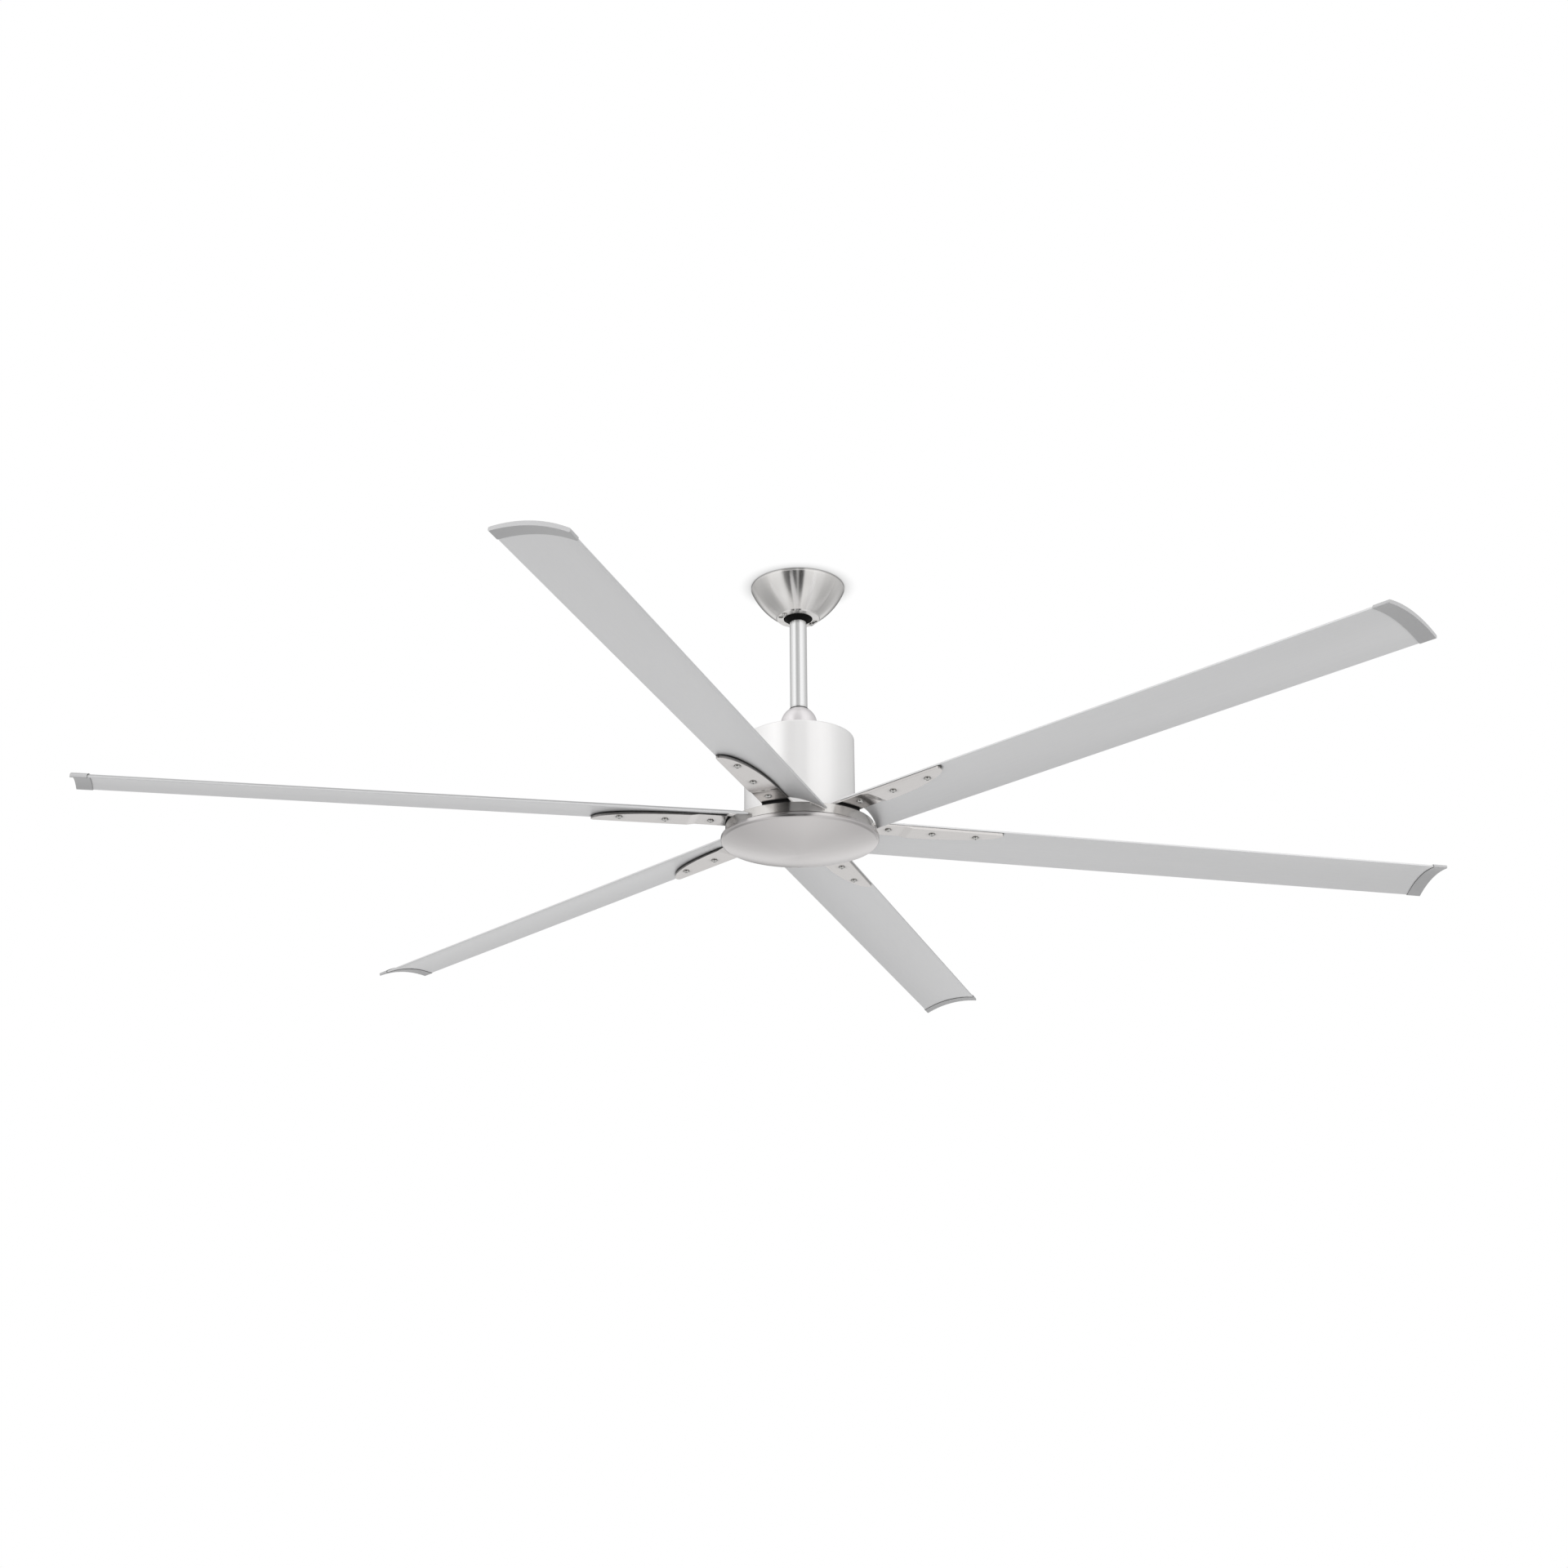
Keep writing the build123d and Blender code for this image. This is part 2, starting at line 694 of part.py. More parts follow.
# Two set screws: one locks the rod, the other the shaft
with BuildPart() as yoke_set_screws:
    with BuildSketch(Plane.YZ.offset(rod_radius + fit)):
        with Locations((0, yoke_pin_z)):
            Circle(set_screw_radius)
    extrude(amount=set_screw_length)
    with BuildSketch(Plane.YZ.offset(-shaft_radius - fit)):
        with Locations((0, shaft_screw_z)):
            Circle(set_screw_radius)
    extrude(amount=-set_screw_length)
    for plane, height, depth in (
        (Plane.YZ.offset(rod_radius + fit + set_screw_length), yoke_pin_z, -set_screw_length / 3),
        (Plane.YZ.offset(-shaft_radius - fit - set_screw_length), shaft_screw_z, set_screw_length / 3),
    ):
        with BuildSketch(plane):
            with Locations((0, height)):
                RegularPolygon(set_screw_radius / 2, 6)
        extrude(amount=depth, mode=Mode.SUBTRACT)
yoke_set_screws.part.label = "yoke_set_screws"
export_step(yoke_set_screws.part, "parts/yoke_set_screws.step")

# Coupling cover: a domed top round the rod that runs down into a slightly flared skirt
cover_mouth = rod_radius + cover_top_clearance
dome_level = cover_top - sqrt(cover_dome**2 - (cover_mouth + cover_wall) ** 2)


def cover_profile(inset):
    """Half section of the cover, solid to the axis, moved inwards by a length."""
    dome = cover_dome - inset
    with BuildLine() as outline:
        Line((0, housing_top), (cover_foot - inset, housing_top))
        Line((cover_foot - inset, housing_top), (dome, dome_level))
        RadiusArc((dome, dome_level), (0, dome_level + dome), -dome)
        Line((0, dome_level + dome), (0, housing_top))
    make_face(outline.edges())


with BuildPart() as coupling_cover:
    with BuildSketch(Plane.XZ):
        cover_profile(0)
    revolve(axis=Axis.Z)
    with BuildSketch(Plane.XZ):
        cover_profile(cover_wall)
    revolve(axis=Axis.Z, mode=Mode.SUBTRACT)
    tube(cover_dome, 0, cover_top, cover_top + cover_dome, Mode.SUBTRACT)
    tube(cover_mouth, 0, dome_level, cover_top + overrun, Mode.SUBTRACT)
coupling_cover.part.label = "coupling_cover"
export_step(coupling_cover.part, "parts/coupling_cover.step")

with BuildPart() as cover_seal:
    tube(rod_radius + seal_width, rod_radius + seat_gap, cover_top, cover_top + seal_height)
    fillet(cover_seal.edges().group_by(Axis.Z)[-1].sort_by(SortBy.RADIUS)[-1], radius=seal_height / 3)
cover_seal.part.label = "cover_seal"
export_step(cover_seal.part, "parts/cover_seal.step")

# Motor housing: a drum with a rounded upper edge, open below
with BuildPart() as motor_housing:
    tube(housing_radius, 0, housing_bottom, housing_top)
    fillet(motor_housing.edges().group_by(Axis.Z)[-1], radius=housing_edge)
    tube(housing_radius - housing_wall, 0, housing_bottom, housing_top - housing_top_wall, Mode.SUBTRACT)
    tube(shaft_radius + fit, 0, housing_top - housing_top_wall, housing_top, Mode.SUBTRACT)
    posts(housing_screw_places, m4[0] + fit, housing_top - housing_top_wall, housing_top, Mode.SUBTRACT)
motor_housing.part.label = "motor_housing"
export_step(motor_housing.part, "parts/motor_housing.step")

with BuildPart() as housing_screws:
    screws(
        Plane.XY.offset(housing_top + yoke_flange_height),
        housing_screw_places,
        m4,
        -yoke_flange_height - housing_top_wall - shaft_flange_height,
    )
housing_screws.part.label = "housing_screws"
export_step(housing_screws.part, "parts/housing_screws.step")

# Hollow shaft that stands still: flange under the housing's top, stator seat, lower shoulder
with BuildPart() as motor_shaft:
    tube(shaft_radius, 0, shaft_end, shaft_top)
    tube(shaft_flange_radius, 0, shaft_flange_bottom, shaft_flange_bottom + shaft_flange_height)
    tube(shaft_shoulder_radius, 0, upper_bearing_top, shaft_flange_bottom)
    tube(core_inner - seat_gap, 0, core_bottom - shaft_seat_overlap, core_top + shaft_seat_overlap)
    tube(core_inner + shaft_seat_overlap, 0, core_bottom - 2 * shaft_seat_overlap,
         core_bottom - insulator_thickness)
    tube(shaft_shoulder_radius, 0, lower_bearing_top, core_bottom)
    tube(shaft_bore, 0, shaft_end, shaft_top, Mode.SUBTRACT)
    posts(housing_screw_places, m4[0] + fit, shaft_flange_bottom,
          shaft_flange_bottom + shaft_flange_height, Mode.SUBTRACT)
    chamfer(motor_shaft.edges().filter_by(GeomType.CIRCLE).group_by(Axis.Z)[0].sort_by(SortBy.RADIUS)[-1],
            length=shaft_chamfer)
motor_shaft.part.label = "motor_shaft"
export_step(motor_shaft.part, "parts/motor_shaft.step")


def bearing_race(inner, outer, top):
    """One ring of a ball bearing, hanging from its top, with the balls' groove cut in it."""
    with BuildSketch(Plane.XZ) as section:
        with Locations(((inner + outer) / 2, top - bearing_width / 2)):
            Rectangle(outer - inner, bearing_width)
        with Locations((bearing_pitch, top - bearing_width / 2)):
            Circle(bearing_ball + fit, mode=Mode.SUBTRACT)
    revolve(section.sketch, axis=Axis.Z)


bearing_tops = (upper_bearing_top, lower_bearing_top)

with BuildPart() as bearing_inner_rings:
    for top in bearing_tops:
        bearing_race(shaft_radius + seat_gap, shaft_radius + bearing_ring, top)
bearing_inner_rings.part.label = "bearing_inner_rings"
export_step(bearing_inner_rings.part, "parts/bearing_inner_rings.step")

with BuildPart() as bearing_outer_rings:
    for top in bearing_tops:
        bearing_race(bearing_outer - bearing_ring, bearing_outer - seat_gap, top)
bearing_outer_rings.part.label = "bearing_outer_rings"
export_step(bearing_outer_rings.part, "parts/bearing_outer_rings.step")

with BuildPart() as bearing_balls:
    for top in bearing_tops:
        with Locations(Plane.XY.offset(top - bearing_width / 2)):
            with PolarLocations(bearing_pitch, bearing_ball_count):
                Sphere(bearing_ball)
bearing_balls.part.label = "bearing_balls"
export_step(bearing_balls.part, "parts/bearing_balls.step")

# Rotor shell: a deep cup upside down, with a bearing boss above and a screwed flange below
with BuildPart() as rotor_shell:
    tube(shell_radius, 0, hub_top, shell_top)
    tube(shell_flange_radius, 0, hub_top, hub_top + shell_flange_height)
    tube(hub_boss, 0, upper_bearing_bottom - bearing_lip, upper_bearing_top)
    tube(magnet_outer, 0, hub_top, shell_top - shell_top_wall, Mode.SUBTRACT)
    tube(hub_boss, 0, upper_bearing_bottom - bearing_lip, shell_top - shell_top_wall)
    tube(bearing_outer, 0, upper_bearing_bottom, upper_bearing_top, Mode.SUBTRACT)
    tube(bearing_outer - bearing_lip_overlap, 0, upper_bearing_bottom - bearing_lip,
         upper_bearing_bottom, Mode.SUBTRACT)
    posts(shell_window_places, shell_window_radius, shell_top - shell_top_wall, shell_top, Mode.SUBTRACT)
    posts(shell_screw_places, m4[0] + fit, hub_top, hub_top + shell_flange_height, Mode.SUBTRACT)
rotor_shell.part.label = "rotor_shell"
export_step(rotor_shell.part, "parts/rotor_shell.step")

# Magnets: arched segments round the inside of the shell
with BuildPart() as rotor_magnets:
    sectors(magnet_outer - seat_gap, magnet_outer - magnet_thickness,
            360 / magnet_count - magnet_gap_angle, magnet_count, core_bottom, core_top)
rotor_magnets.part.label = "rotor_magnets"
export_step(rotor_magnets.part, "parts/rotor_magnets.step")


def tooth_profile():
    """Plan of the laminations: a ring with teeth that end in wide arched tips."""
    with BuildSketch() as plan:
        Circle(core_inner + core_back)
        with PolarLocations((core_inner + core_radius - tooth_tip_height / 2) / 2, tooth_count):
            Rectangle(core_radius - tooth_tip_height / 2 - core_inner, tooth_width)
        with BuildSketch(mode=Mode.PRIVATE) as tip:
            Circle(core_radius)
            Circle(core_radius - tooth_tip_height, mode=Mode.SUBTRACT)
            with Locations((core_radius, 0)):
                Rectangle(
                    2 * tooth_tip_height,
                    2 * core_radius * sin(radians(tooth_tip_angle / 2)),
                    mode=Mode.INTERSECT,
                )
        with PolarLocations(0, tooth_count):
            add(tip.sketch)
        Circle(core_inner, mode=Mode.SUBTRACT)
    return plan.sketch


tooth_plan = tooth_profile()

with BuildPart() as stator_core:
    with BuildSketch(Plane.XY.offset(core_bottom)):
        add(tooth_plan)
    extrude(amount=core_height)
stator_core.part.label = "stator_core"
export_step(stator_core.part, "parts/stator_core.step")

with BuildPart() as stator_insulators:
    for level in (core_bottom - insulator_thickness, core_top):
        with BuildSketch(Plane.XY.offset(level)):
            add(tooth_plan)
        extrude(amount=insulator_thickness)
stator_insulators.part.label = "stator_insulators"
export_step(stator_insulators.part, "parts/stator_insulators.step")

# Windings: one racetrack coil round each tooth
coil_inner_width = tooth_width + 2 * insulator_thickness
coil_inner_height = core_height + 2 * insulator_thickness
coil_from = core_inner + core_back + coil_back_gap
coil_to = core_radius - tooth_tip_height - insulator_thickness
coil_angles = [360 / tooth_count * n for n in range(tooth_count)]

with BuildPart() as stator_windings:
    for angle in coil_angles:
        out = Vector(cos(radians(angle)), sin(radians(angle)), 0)
        centre = Vector(coil_from * out.X, coil_from * out.Y, core_middle)
        with BuildSketch(Plane(origin=centre, x_dir=(0, 0, 1), z_dir=out)):
            RectangleRounded(
                coil_inner_height + 2 * coil_width,
                coil_inner_width + 2 * coil_width,
                coil_width,
            )
            Rectangle(coil_inner_height, coil_inner_width, mode=Mode.SUBTRACT)
        extrude(amount=coil_to - coil_from)
stator_windings.part.label = "stator_windings"
export_step(stator_windings.part, "parts/stator_windings.step")

# Hub ring: deep rim, thinner web, boss with the lower bearing's seat
with BuildPart() as hub_ring:
    tube(ring_radius, ring_radius - hub_rim, hub_bottom, hub_top)
    chamfer(hub_ring.edges().group_by(Axis.Z)[0].sort_by(SortBy.RADIUS)[-1], length=hub_edge)
    tube(ring_radius - hub_rim / 2, 0, hub_top - hub_web, hub_top)
    tube(hub_boss, 0, hub_bottom, hub_top)
    tube(bearing_outer, 0, hub_bottom, lower_bearing_top, Mode.SUBTRACT)
    tube(bearing_outer - bearing_lip_overlap, 0, lower_bearing_top, hub_top, Mode.SUBTRACT)
    posts(shell_window_places, shell_window_radius, hub_top - hub_web, hub_top, Mode.SUBTRACT)
    posts(shell_screw_places, m4[0] + fit, hub_top - hub_web, hub_top, Mode.SUBTRACT)
    posts(hub_bolt_places, m6[0] + fit, hub_top - hub_bolt_depth - fit, hub_top, Mode.SUBTRACT)
hub_ring.part.label = "hub_ring"
export_step(hub_ring.part, "parts/hub_ring.step")

with BuildPart() as shell_screws:
    screws(Plane.XY.offset(hub_top - hub_web), shell_screw_places, m4, hub_web + shell_flange_height)
shell_screws.part.label = "shell_screws"
export_step(shell_screws.part, "parts/shell_screws.step")

# Envelope of a blade at angle zero, from its root arc outwards, to cut what lies under it
with BuildPart() as blade_envelope:
    with BuildSketch(blade_plane(0)):
        with BuildLine():
            edge = half_chord + seat_gap
            ThreePointArc((-edge, -seat_gap), (0, blade_camber - seat_gap), (edge, -seat_gap))
            Polyline((edge, -seat_gap), (edge, half_chord), (-edge, half_chord), (-edge, -seat_gap))
        make_face()
    extrude(amount=fin_end + overrun)
    tube(root_radius - fit, 0, hub_bottom, housing_top, Mode.SUBTRACT)

# Bracket at angle zero: a pad on the hub, a short ramp and a quarter-ellipse fin under the blade
with BuildPart() as bracket_form:
    with BuildSketch(Plane.XY.offset(hub_bottom)):
        with BuildLine():
            Line((0, -bracket_lead), (fin_end, -bracket_lead))
            EllipticalCenterArc(
                (fin_start, -bracket_lead),
                fin_length,
                bracket_lead + bracket_trail,
                start_angle=0,
                arc_size=90,
            )
            Line((fin_start, bracket_trail), (0, bracket_trail))
            Line((0, bracket_trail), (0, -bracket_lead))
        make_face()
        fillet(vertices().sort_by(Axis.X)[-1], radius=fin_tip_radius)
        Circle(pad_radius, mode=Mode.SUBTRACT)
    extrude(amount=housing_bottom - hub_bottom + plate_thickness)
    with BuildSketch(Plane.XZ.offset(-bracket_trail)):
        with BuildLine():
            Polyline(
                (0, pad_bottom),
                (ramp_start, pad_bottom),
                (ramp_end, plate_bottom_at(ramp_end)),
                (fin_end + overrun, plate_bottom_at(fin_end + overrun)),
                (fin_end + overrun, plate_bottom_at(fin_end + overrun) + plate_thickness),
                (ramp_end, plate_bottom_at(ramp_end) + plate_thickness),
                (ramp_start, pad_bottom + plate_thickness),
                (0, pad_bottom + plate_thickness),
                close=True,
            )
        make_face()
        bends = [bend for bend in vertices() if ramp_start - fit < bend.X < ramp_end + fit]
        fillet(bends, radius=bend_radius)
    extrude(amount=bracket_lead + bracket_trail, mode=Mode.INTERSECT)
    posts([(station, -screw_lead) for station in screw_stations[1:]], screw_boss_radius,
          plate_bottom_at(fin_end) + plate_thickness / 2, pad_bottom + 2 * plate_thickness)
    add(blade_envelope.part, mode=Mode.SUBTRACT)
    for station in screw_stations:
        with BuildSketch(screw_plane(station)):
            Circle(m5[0] + fit)
        extrude(amount=3 * plate_thickness, both=True, mode=Mode.SUBTRACT)
    posts([(bolt_radius, side) for side in bolt_sides], m6[0] + fit, hub_top, housing_bottom + overrun,
          Mode.SUBTRACT)

for number, angle in enumerate(blade_angles, start=1):
    with BuildPart() as blade_bracket:
        add(bracket_form.part, rotation=(0, 0, angle))
    blade_bracket.part.label = f"blade_bracket_{number}"
    export_step(blade_bracket.part, f"parts/blade_bracket_{number}.step")

# Gaskets between the brackets' pads and the hub ring
with BuildPart() as bracket_gaskets:
    with BuildSketch(Plane.XY.offset(hub_top)):
        with PolarLocations(0, blade_count, blade_phase):
            with BuildSketch(mode=Mode.PRIVATE) as gasket_plan:
                with Locations((ring_radius / 2, pad_middle)):
                    Rectangle(ring_radius, bracket_lead + bracket_trail)
                Circle(ring_radius - hub_edge, mode=Mode.INTERSECT)
                Circle(pad_radius, mode=Mode.SUBTRACT)
                with Locations(*[(bolt_radius, side) for side in bolt_sides]):
                    Circle(m6[0] + fit, mode=Mode.SUBTRACT)
            add(gasket_plan.sketch)
    extrude(amount=gasket_height)
bracket_gaskets.part.label = "bracket_gaskets"
export_step(bracket_gaskets.part, "parts/bracket_gaskets.step")

with BuildPart() as hub_bolts:
    screws(Plane.XY.offset(pad_bottom + plate_thickness), hub_bolt_places, m6,
           -plate_thickness - gasket_height - hub_bolt_depth)
hub_bolts.part.label = "hub_bolts"
export_step(hub_bolts.part, "parts/hub_bolts.step")

# Blade screws at angle zero, then round the fan
with BuildPart() as screw_row:
    for station in screw_stations:
        screws(screw_plane(station), [(0, 0)], m5, blade_screw_end(station))

with BuildPart() as blade_screws:
    for angle in blade_angles:
        add(screw_row.part, rotation=(0, 0, angle))
blade_screws.part.label = "blade_screws"
export_step(blade_screws.part, "parts/blade_screws.step")

# Blade at angle zero: an arched extrusion with four chambers and a solid land for the screws
blade_start = root_radius * cos(radians(blade_root_angle))
blade_end = tip_radius - end_cap_end

with BuildPart() as blade_form:
    with BuildSketch(blade_plane(blade_start)):
        blade_outline(0)
        fillet(vertices(), radius=blade_edge_radius)
    extrude(amount=(blade_end - blade_start) / cos(radians(blade_droop)))
    for low_share, high_share in chamber_shares:
        with BuildSketch(blade_plane(blade_start)):
            blade_outline(-blade_skin)
            with Locations(((low_share + high_share) / 2 * half_chord, blade_camber)):
                Rectangle((high_share - low_share) * half_chord, 2 * blade_chord, mode=Mode.INTERSECT)
        extrude(amount=blade_end - blade_start + overrun, mode=Mode.SUBTRACT)
    tube(root_radius, 0, hub_bottom, housing_top, Mode.SUBTRACT)
    for station in screw_stations:
        with BuildSketch(screw_plane(station)):
            Circle(m5[0] + fit)
        extrude(amount=blade_screw_end(station) + fit, mode=Mode.SUBTRACT)

# End cap at angle zero: a sleeve over the blade's end, closed at the tip
with BuildPart() as end_cap_form:
    with BuildSketch(blade_plane(tip_radius - end_cap_length)):
        blade_outline(end_cap_wall)
        fillet(vertices(), radius=blade_edge_radius + end_cap_edge)
    extrude(amount=end_cap_length / cos(radians(blade_droop)))
    with BuildSketch(blade_plane(tip_radius - end_cap_length)):
        blade_outline(seat_gap)
        fillet(vertices(), radius=blade_edge_radius)
    extrude(amount=(end_cap_length - end_cap_end) / cos(radians(blade_droop)), mode=Mode.SUBTRACT)

for number, angle in enumerate(blade_angles, start=1):
    with BuildPart() as blade:
        add(blade_form.part, rotation=(0, 0, angle))
    blade.part.label = f"blade_{number}"
    export_step(blade.part, f"parts/blade_{number}.step")

    with BuildPart() as blade_end_cap:
        add(end_cap_form.part, rotation=(0, 0, angle))
    blade_end_cap.part.label = f"blade_end_cap_{number}"
    export_step(blade_end_cap.part, f"parts/blade_end_cap_{number}.step")


# Cap plate on the shaft's end: it hugs the lower bearing and holds the cap by three tongues
board_corners = [
    (x * (board_length / 2 - standoff_inset), y * (board_width / 2 - standoff_inset))
    for x in (-1, 1)
    for y in (-1, 1)
]

with BuildPart() as cap_plate:
    tube(cap_plate_radius, 0, plate_bottom, plate_top)
    tube(cap_plate_hub, 0, plate_bottom, lower_bearing_top - bearing_width)
    sectors(cap_plate_radius + cap_tongue, cap_plate_hub, cap_tongue_angle, cap_tongue_count,
            plate_bottom, plate_top)
    tube(shaft_radius + fit, 0, plate_bottom, lower_bearing_top, Mode.SUBTRACT)
cap_plate.part.label = "cap_plate"
export_step(cap_plate.part, "parts/cap_plate.step")

with BuildPart() as shaft_nut:
    with BuildSketch(Plane.XY.offset(plate_bottom)):
        RegularPolygon(nut_across_flats / 2, 6, major_radius=False)
        Circle(shaft_radius + seat_gap, mode=Mode.SUBTRACT)
    extrude(amount=-nut_height)
shaft_nut.part.label = "shaft_nut"
export_step(shaft_nut.part, "parts/shaft_nut.step")


def cap_profile(inset):
    """Half section of the bottom cap, solid to the axis, moved inwards by a length."""
    rim = cap_radius - inset
    edge_level = cap_top - cap_side
    bottom = cap_top - cap_height + inset
    depth = edge_level - bottom
    dome = (rim**2 + depth**2) / (2 * depth)
    with BuildLine() as outline:
        Line((0, cap_top), (rim, cap_top))
        Line((rim, cap_top), (rim, edge_level))
        ThreePointArc(
            (rim, edge_level),
            (rim / 2, bottom + dome - sqrt(dome**2 - (rim / 2) ** 2)),
            (0, bottom),
        )
        Line((0, bottom), (0, cap_top))
    make_face(outline.edges())


# Bottom cap: shallow dome with a rounded shoulder and three lugs that hang on the plate's tongues
with BuildPart() as bottom_cap:
    with BuildSketch(Plane.XZ):
        cap_profile(0)
        fillet(vertices().group_by(Axis.X)[-1].sort_by(Axis.Y)[0], radius=cap_shoulder)
    revolve(axis=Axis.Z)
    with BuildSketch(Plane.XZ):
        cap_profile(cap_wall)
        fillet(vertices().group_by(Axis.X)[-1].sort_by(Axis.Y)[0], radius=cap_shoulder - cap_wall)
    revolve(axis=Axis.Z, mode=Mode.SUBTRACT)
    sectors(cap_radius - cap_wall / 2, cap_plate_radius + cap_wall, cap_tongue_angle,
            cap_tongue_count, plate_top, plate_top + cap_lug_thickness)
bottom_cap.part.label = "bottom_cap"
export_step(bottom_cap.part, "parts/bottom_cap.step")

# Driver board under the cap plate, on four posts, with its capacitor and heat sink
capacitor_place = (-board_length / 4, board_width / 4)
heat_sink_place = (board_length / 4 - heat_sink_base, board_width / 4 - board_width / 2 - standoff_inset)
chip_places = [(-board_length / 4, -board_width / 4), (board_length / 4, board_width / 4)]

with BuildPart() as board_standoffs:
    posts(board_corners, standoff_radius, board_top, plate_bottom)
    posts(board_corners, standoff_pin, board_top - board_thickness - standoff_pin, board_top)
board_standoffs.part.label = "board_standoffs"
export_step(board_standoffs.part, "parts/board_standoffs.step")

with BuildPart() as driver_board:
    with BuildSketch(Plane.XY.offset(board_top)):
        RectangleRounded(board_length, board_width, standoff_radius)
        with Locations(*board_corners):
            Circle(standoff_pin + fit, mode=Mode.SUBTRACT)
    extrude(amount=-board_thickness)
    with BuildSketch(Plane.XY.offset(board_top)):
        with Locations(*chip_places):
            Rectangle(chip_side, chip_side)
    extrude(amount=board_thickness)
driver_board.part.label = "driver_board"
export_step(driver_board.part, "parts/driver_board.step")

with BuildPart() as driver_capacitor:
    with BuildSketch(Plane.YZ.offset(capacitor_place[0] - capacitor_length / 2)):
        with Locations((capacitor_place[1], board_top + capacitor_radius)):
            Circle(capacitor_radius)
    extrude(amount=capacitor_length)
driver_capacitor.part.label = "driver_capacitor"
export_step(driver_capacitor.part, "parts/driver_capacitor.step")

with BuildPart() as driver_heatsink:
    with BuildSketch(Plane.XY.offset(board_top)):
        with Locations(heat_sink_place):
            Rectangle(heat_sink_length, heat_sink_width)
    extrude(amount=heat_sink_base)
    with BuildSketch(Plane.XY.offset(board_top + heat_sink_base)):
        with Locations(heat_sink_place):
            with GridLocations(heat_sink_length / heat_sink_fins, heat_sink_width, heat_sink_fins, 1):
                Rectangle(heat_sink_length / heat_sink_fins / 3, heat_sink_width)
    extrude(amount=heat_sink_fin)
driver_heatsink.part.label = "driver_heatsink"
export_step(driver_heatsink.part, "parts/driver_heatsink.step")

with BuildPart() as receiver_board:
    with BuildSketch(Plane.XY.offset(plate_bottom)):
        with Locations((0, board_width / 2 + receiver_width)):
            RectangleRounded(receiver_length, receiver_width, receiver_height / 4)
    extrude(amount=-receiver_height)
receiver_board.part.label = "receiver_board"
export_step(receiver_board.part, "parts/receiver_board.step")
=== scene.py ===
from math import cos, pi, radians, sin

import bmesh
import bpy
from mathutils import Matrix, Vector
from mathutils.geometry import tessellate_polygon

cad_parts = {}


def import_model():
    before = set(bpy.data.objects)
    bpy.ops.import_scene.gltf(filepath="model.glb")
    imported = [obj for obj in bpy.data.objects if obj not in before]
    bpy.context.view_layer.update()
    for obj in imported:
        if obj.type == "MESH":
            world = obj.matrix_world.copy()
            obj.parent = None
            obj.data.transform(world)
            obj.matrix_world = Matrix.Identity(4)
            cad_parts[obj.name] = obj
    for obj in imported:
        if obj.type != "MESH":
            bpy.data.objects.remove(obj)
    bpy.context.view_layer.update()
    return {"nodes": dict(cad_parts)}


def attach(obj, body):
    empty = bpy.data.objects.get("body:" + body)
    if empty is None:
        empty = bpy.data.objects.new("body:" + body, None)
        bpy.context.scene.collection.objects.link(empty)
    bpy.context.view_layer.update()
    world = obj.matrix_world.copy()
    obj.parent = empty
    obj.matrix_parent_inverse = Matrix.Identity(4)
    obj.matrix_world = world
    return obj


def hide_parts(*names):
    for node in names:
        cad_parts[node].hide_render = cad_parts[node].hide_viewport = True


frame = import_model()
nodes = frame["nodes"]

# Millimetres, as metres
MM = 0.001

# Camera, fitted to the blade tips, the blade edges and the axis in the photograph
CAMERA_PLACE = Vector((0.0, -3.1947, -1.5315))
CAMERA_PITCH = 0.35886
CAMERA_YAW = -0.0075
CAMERA_ROLL = -0.006385
CAMERA_LENS = 50.8
CAMERA_SENSOR = 36.0
CAMERA_REACH = 50

# Blades: the first one's angle, and the turn from one to the next
BLADE_PHASE = 12.7
BLADE_COUNT = 6
BLADE_TURN = 360 / BLADE_COUNT

# Pan head screws, in millimetres: shank radius, head radius, head height
BLADE_SCREW = (2.5, 4.8, 2.6)
CANOPY_SCREW = (2.0, 3.6, 2.6)
# How far from its first vertex a screw reaches, and how far from its end a vertex still counts
SCREW_REACH = 20.0
SCREW_END = 0.15
SCREW_SIDES = 32
SCREW_TURN = 0.7
# The head's outline and its cross recess, as shares of the head's radius and height
HEAD_SHARES = [(1.0, 0.0), (1.0, 0.20), (0.97, 0.45), (0.89, 0.72), (0.75, 0.92), (0.60, 1.0)]
RECESS_SPAN_SHARE = 0.50
RECESS_HALF_WIDTH_SHARE = 0.12
RECESS_FLOOR_SHARE = 0.55
RECESS_DEPTH_SHARE = 0.65

# Scales of noise in a metre, the three numbers along, across and up
TURNED_GRAIN = 900.0
METAL_MOTTLE = 400.0
PLASTIC_PORES = 1500.0
BLADE_GRAIN = (6.0, 900.0, 900.0)
BLADE_CLOUDS = (1.5, 14.0, 14.0)
BRACKET_GRAIN = (12.0, 1400.0, 1400.0)
BRACKET_CLOUDS = (9.0, 30.0, 30.0)
# The fine streaks of painted reflection on spun metal, on a circle of radius 1 round the axis
FINE_REFLECTION_STREAKS = (22.0, 22.0, 22.0)
# Shares of the fine streaks of painted reflection and of the turned grain in the colour of spun metal
REFLECTION_STREAK_SHARE = 0.25
TURNED_SHARE = 0.05
# The darker tone of mottled metal and of plastic, as a share of the colour
METAL_SHADE = 0.86
PLASTIC_SHADE = 0.88

# Stage
DISC_SIDES = 96
FLOOR_LEVEL = -2.6
FLOOR_RADIUS = 9.0
FLOOR_FADE = [(0.20, 0.0), (0.95, 1.0)]
CEILING_LEVEL = 0.5 * MM
CEILING_RADIUS = 0.16
CEILING_FADE = [(0.55, 0.0), (0.92, 1.0)]
# Reach of the canopy's painted shadow on the ceiling
CEILING_SHADOW = 0.022

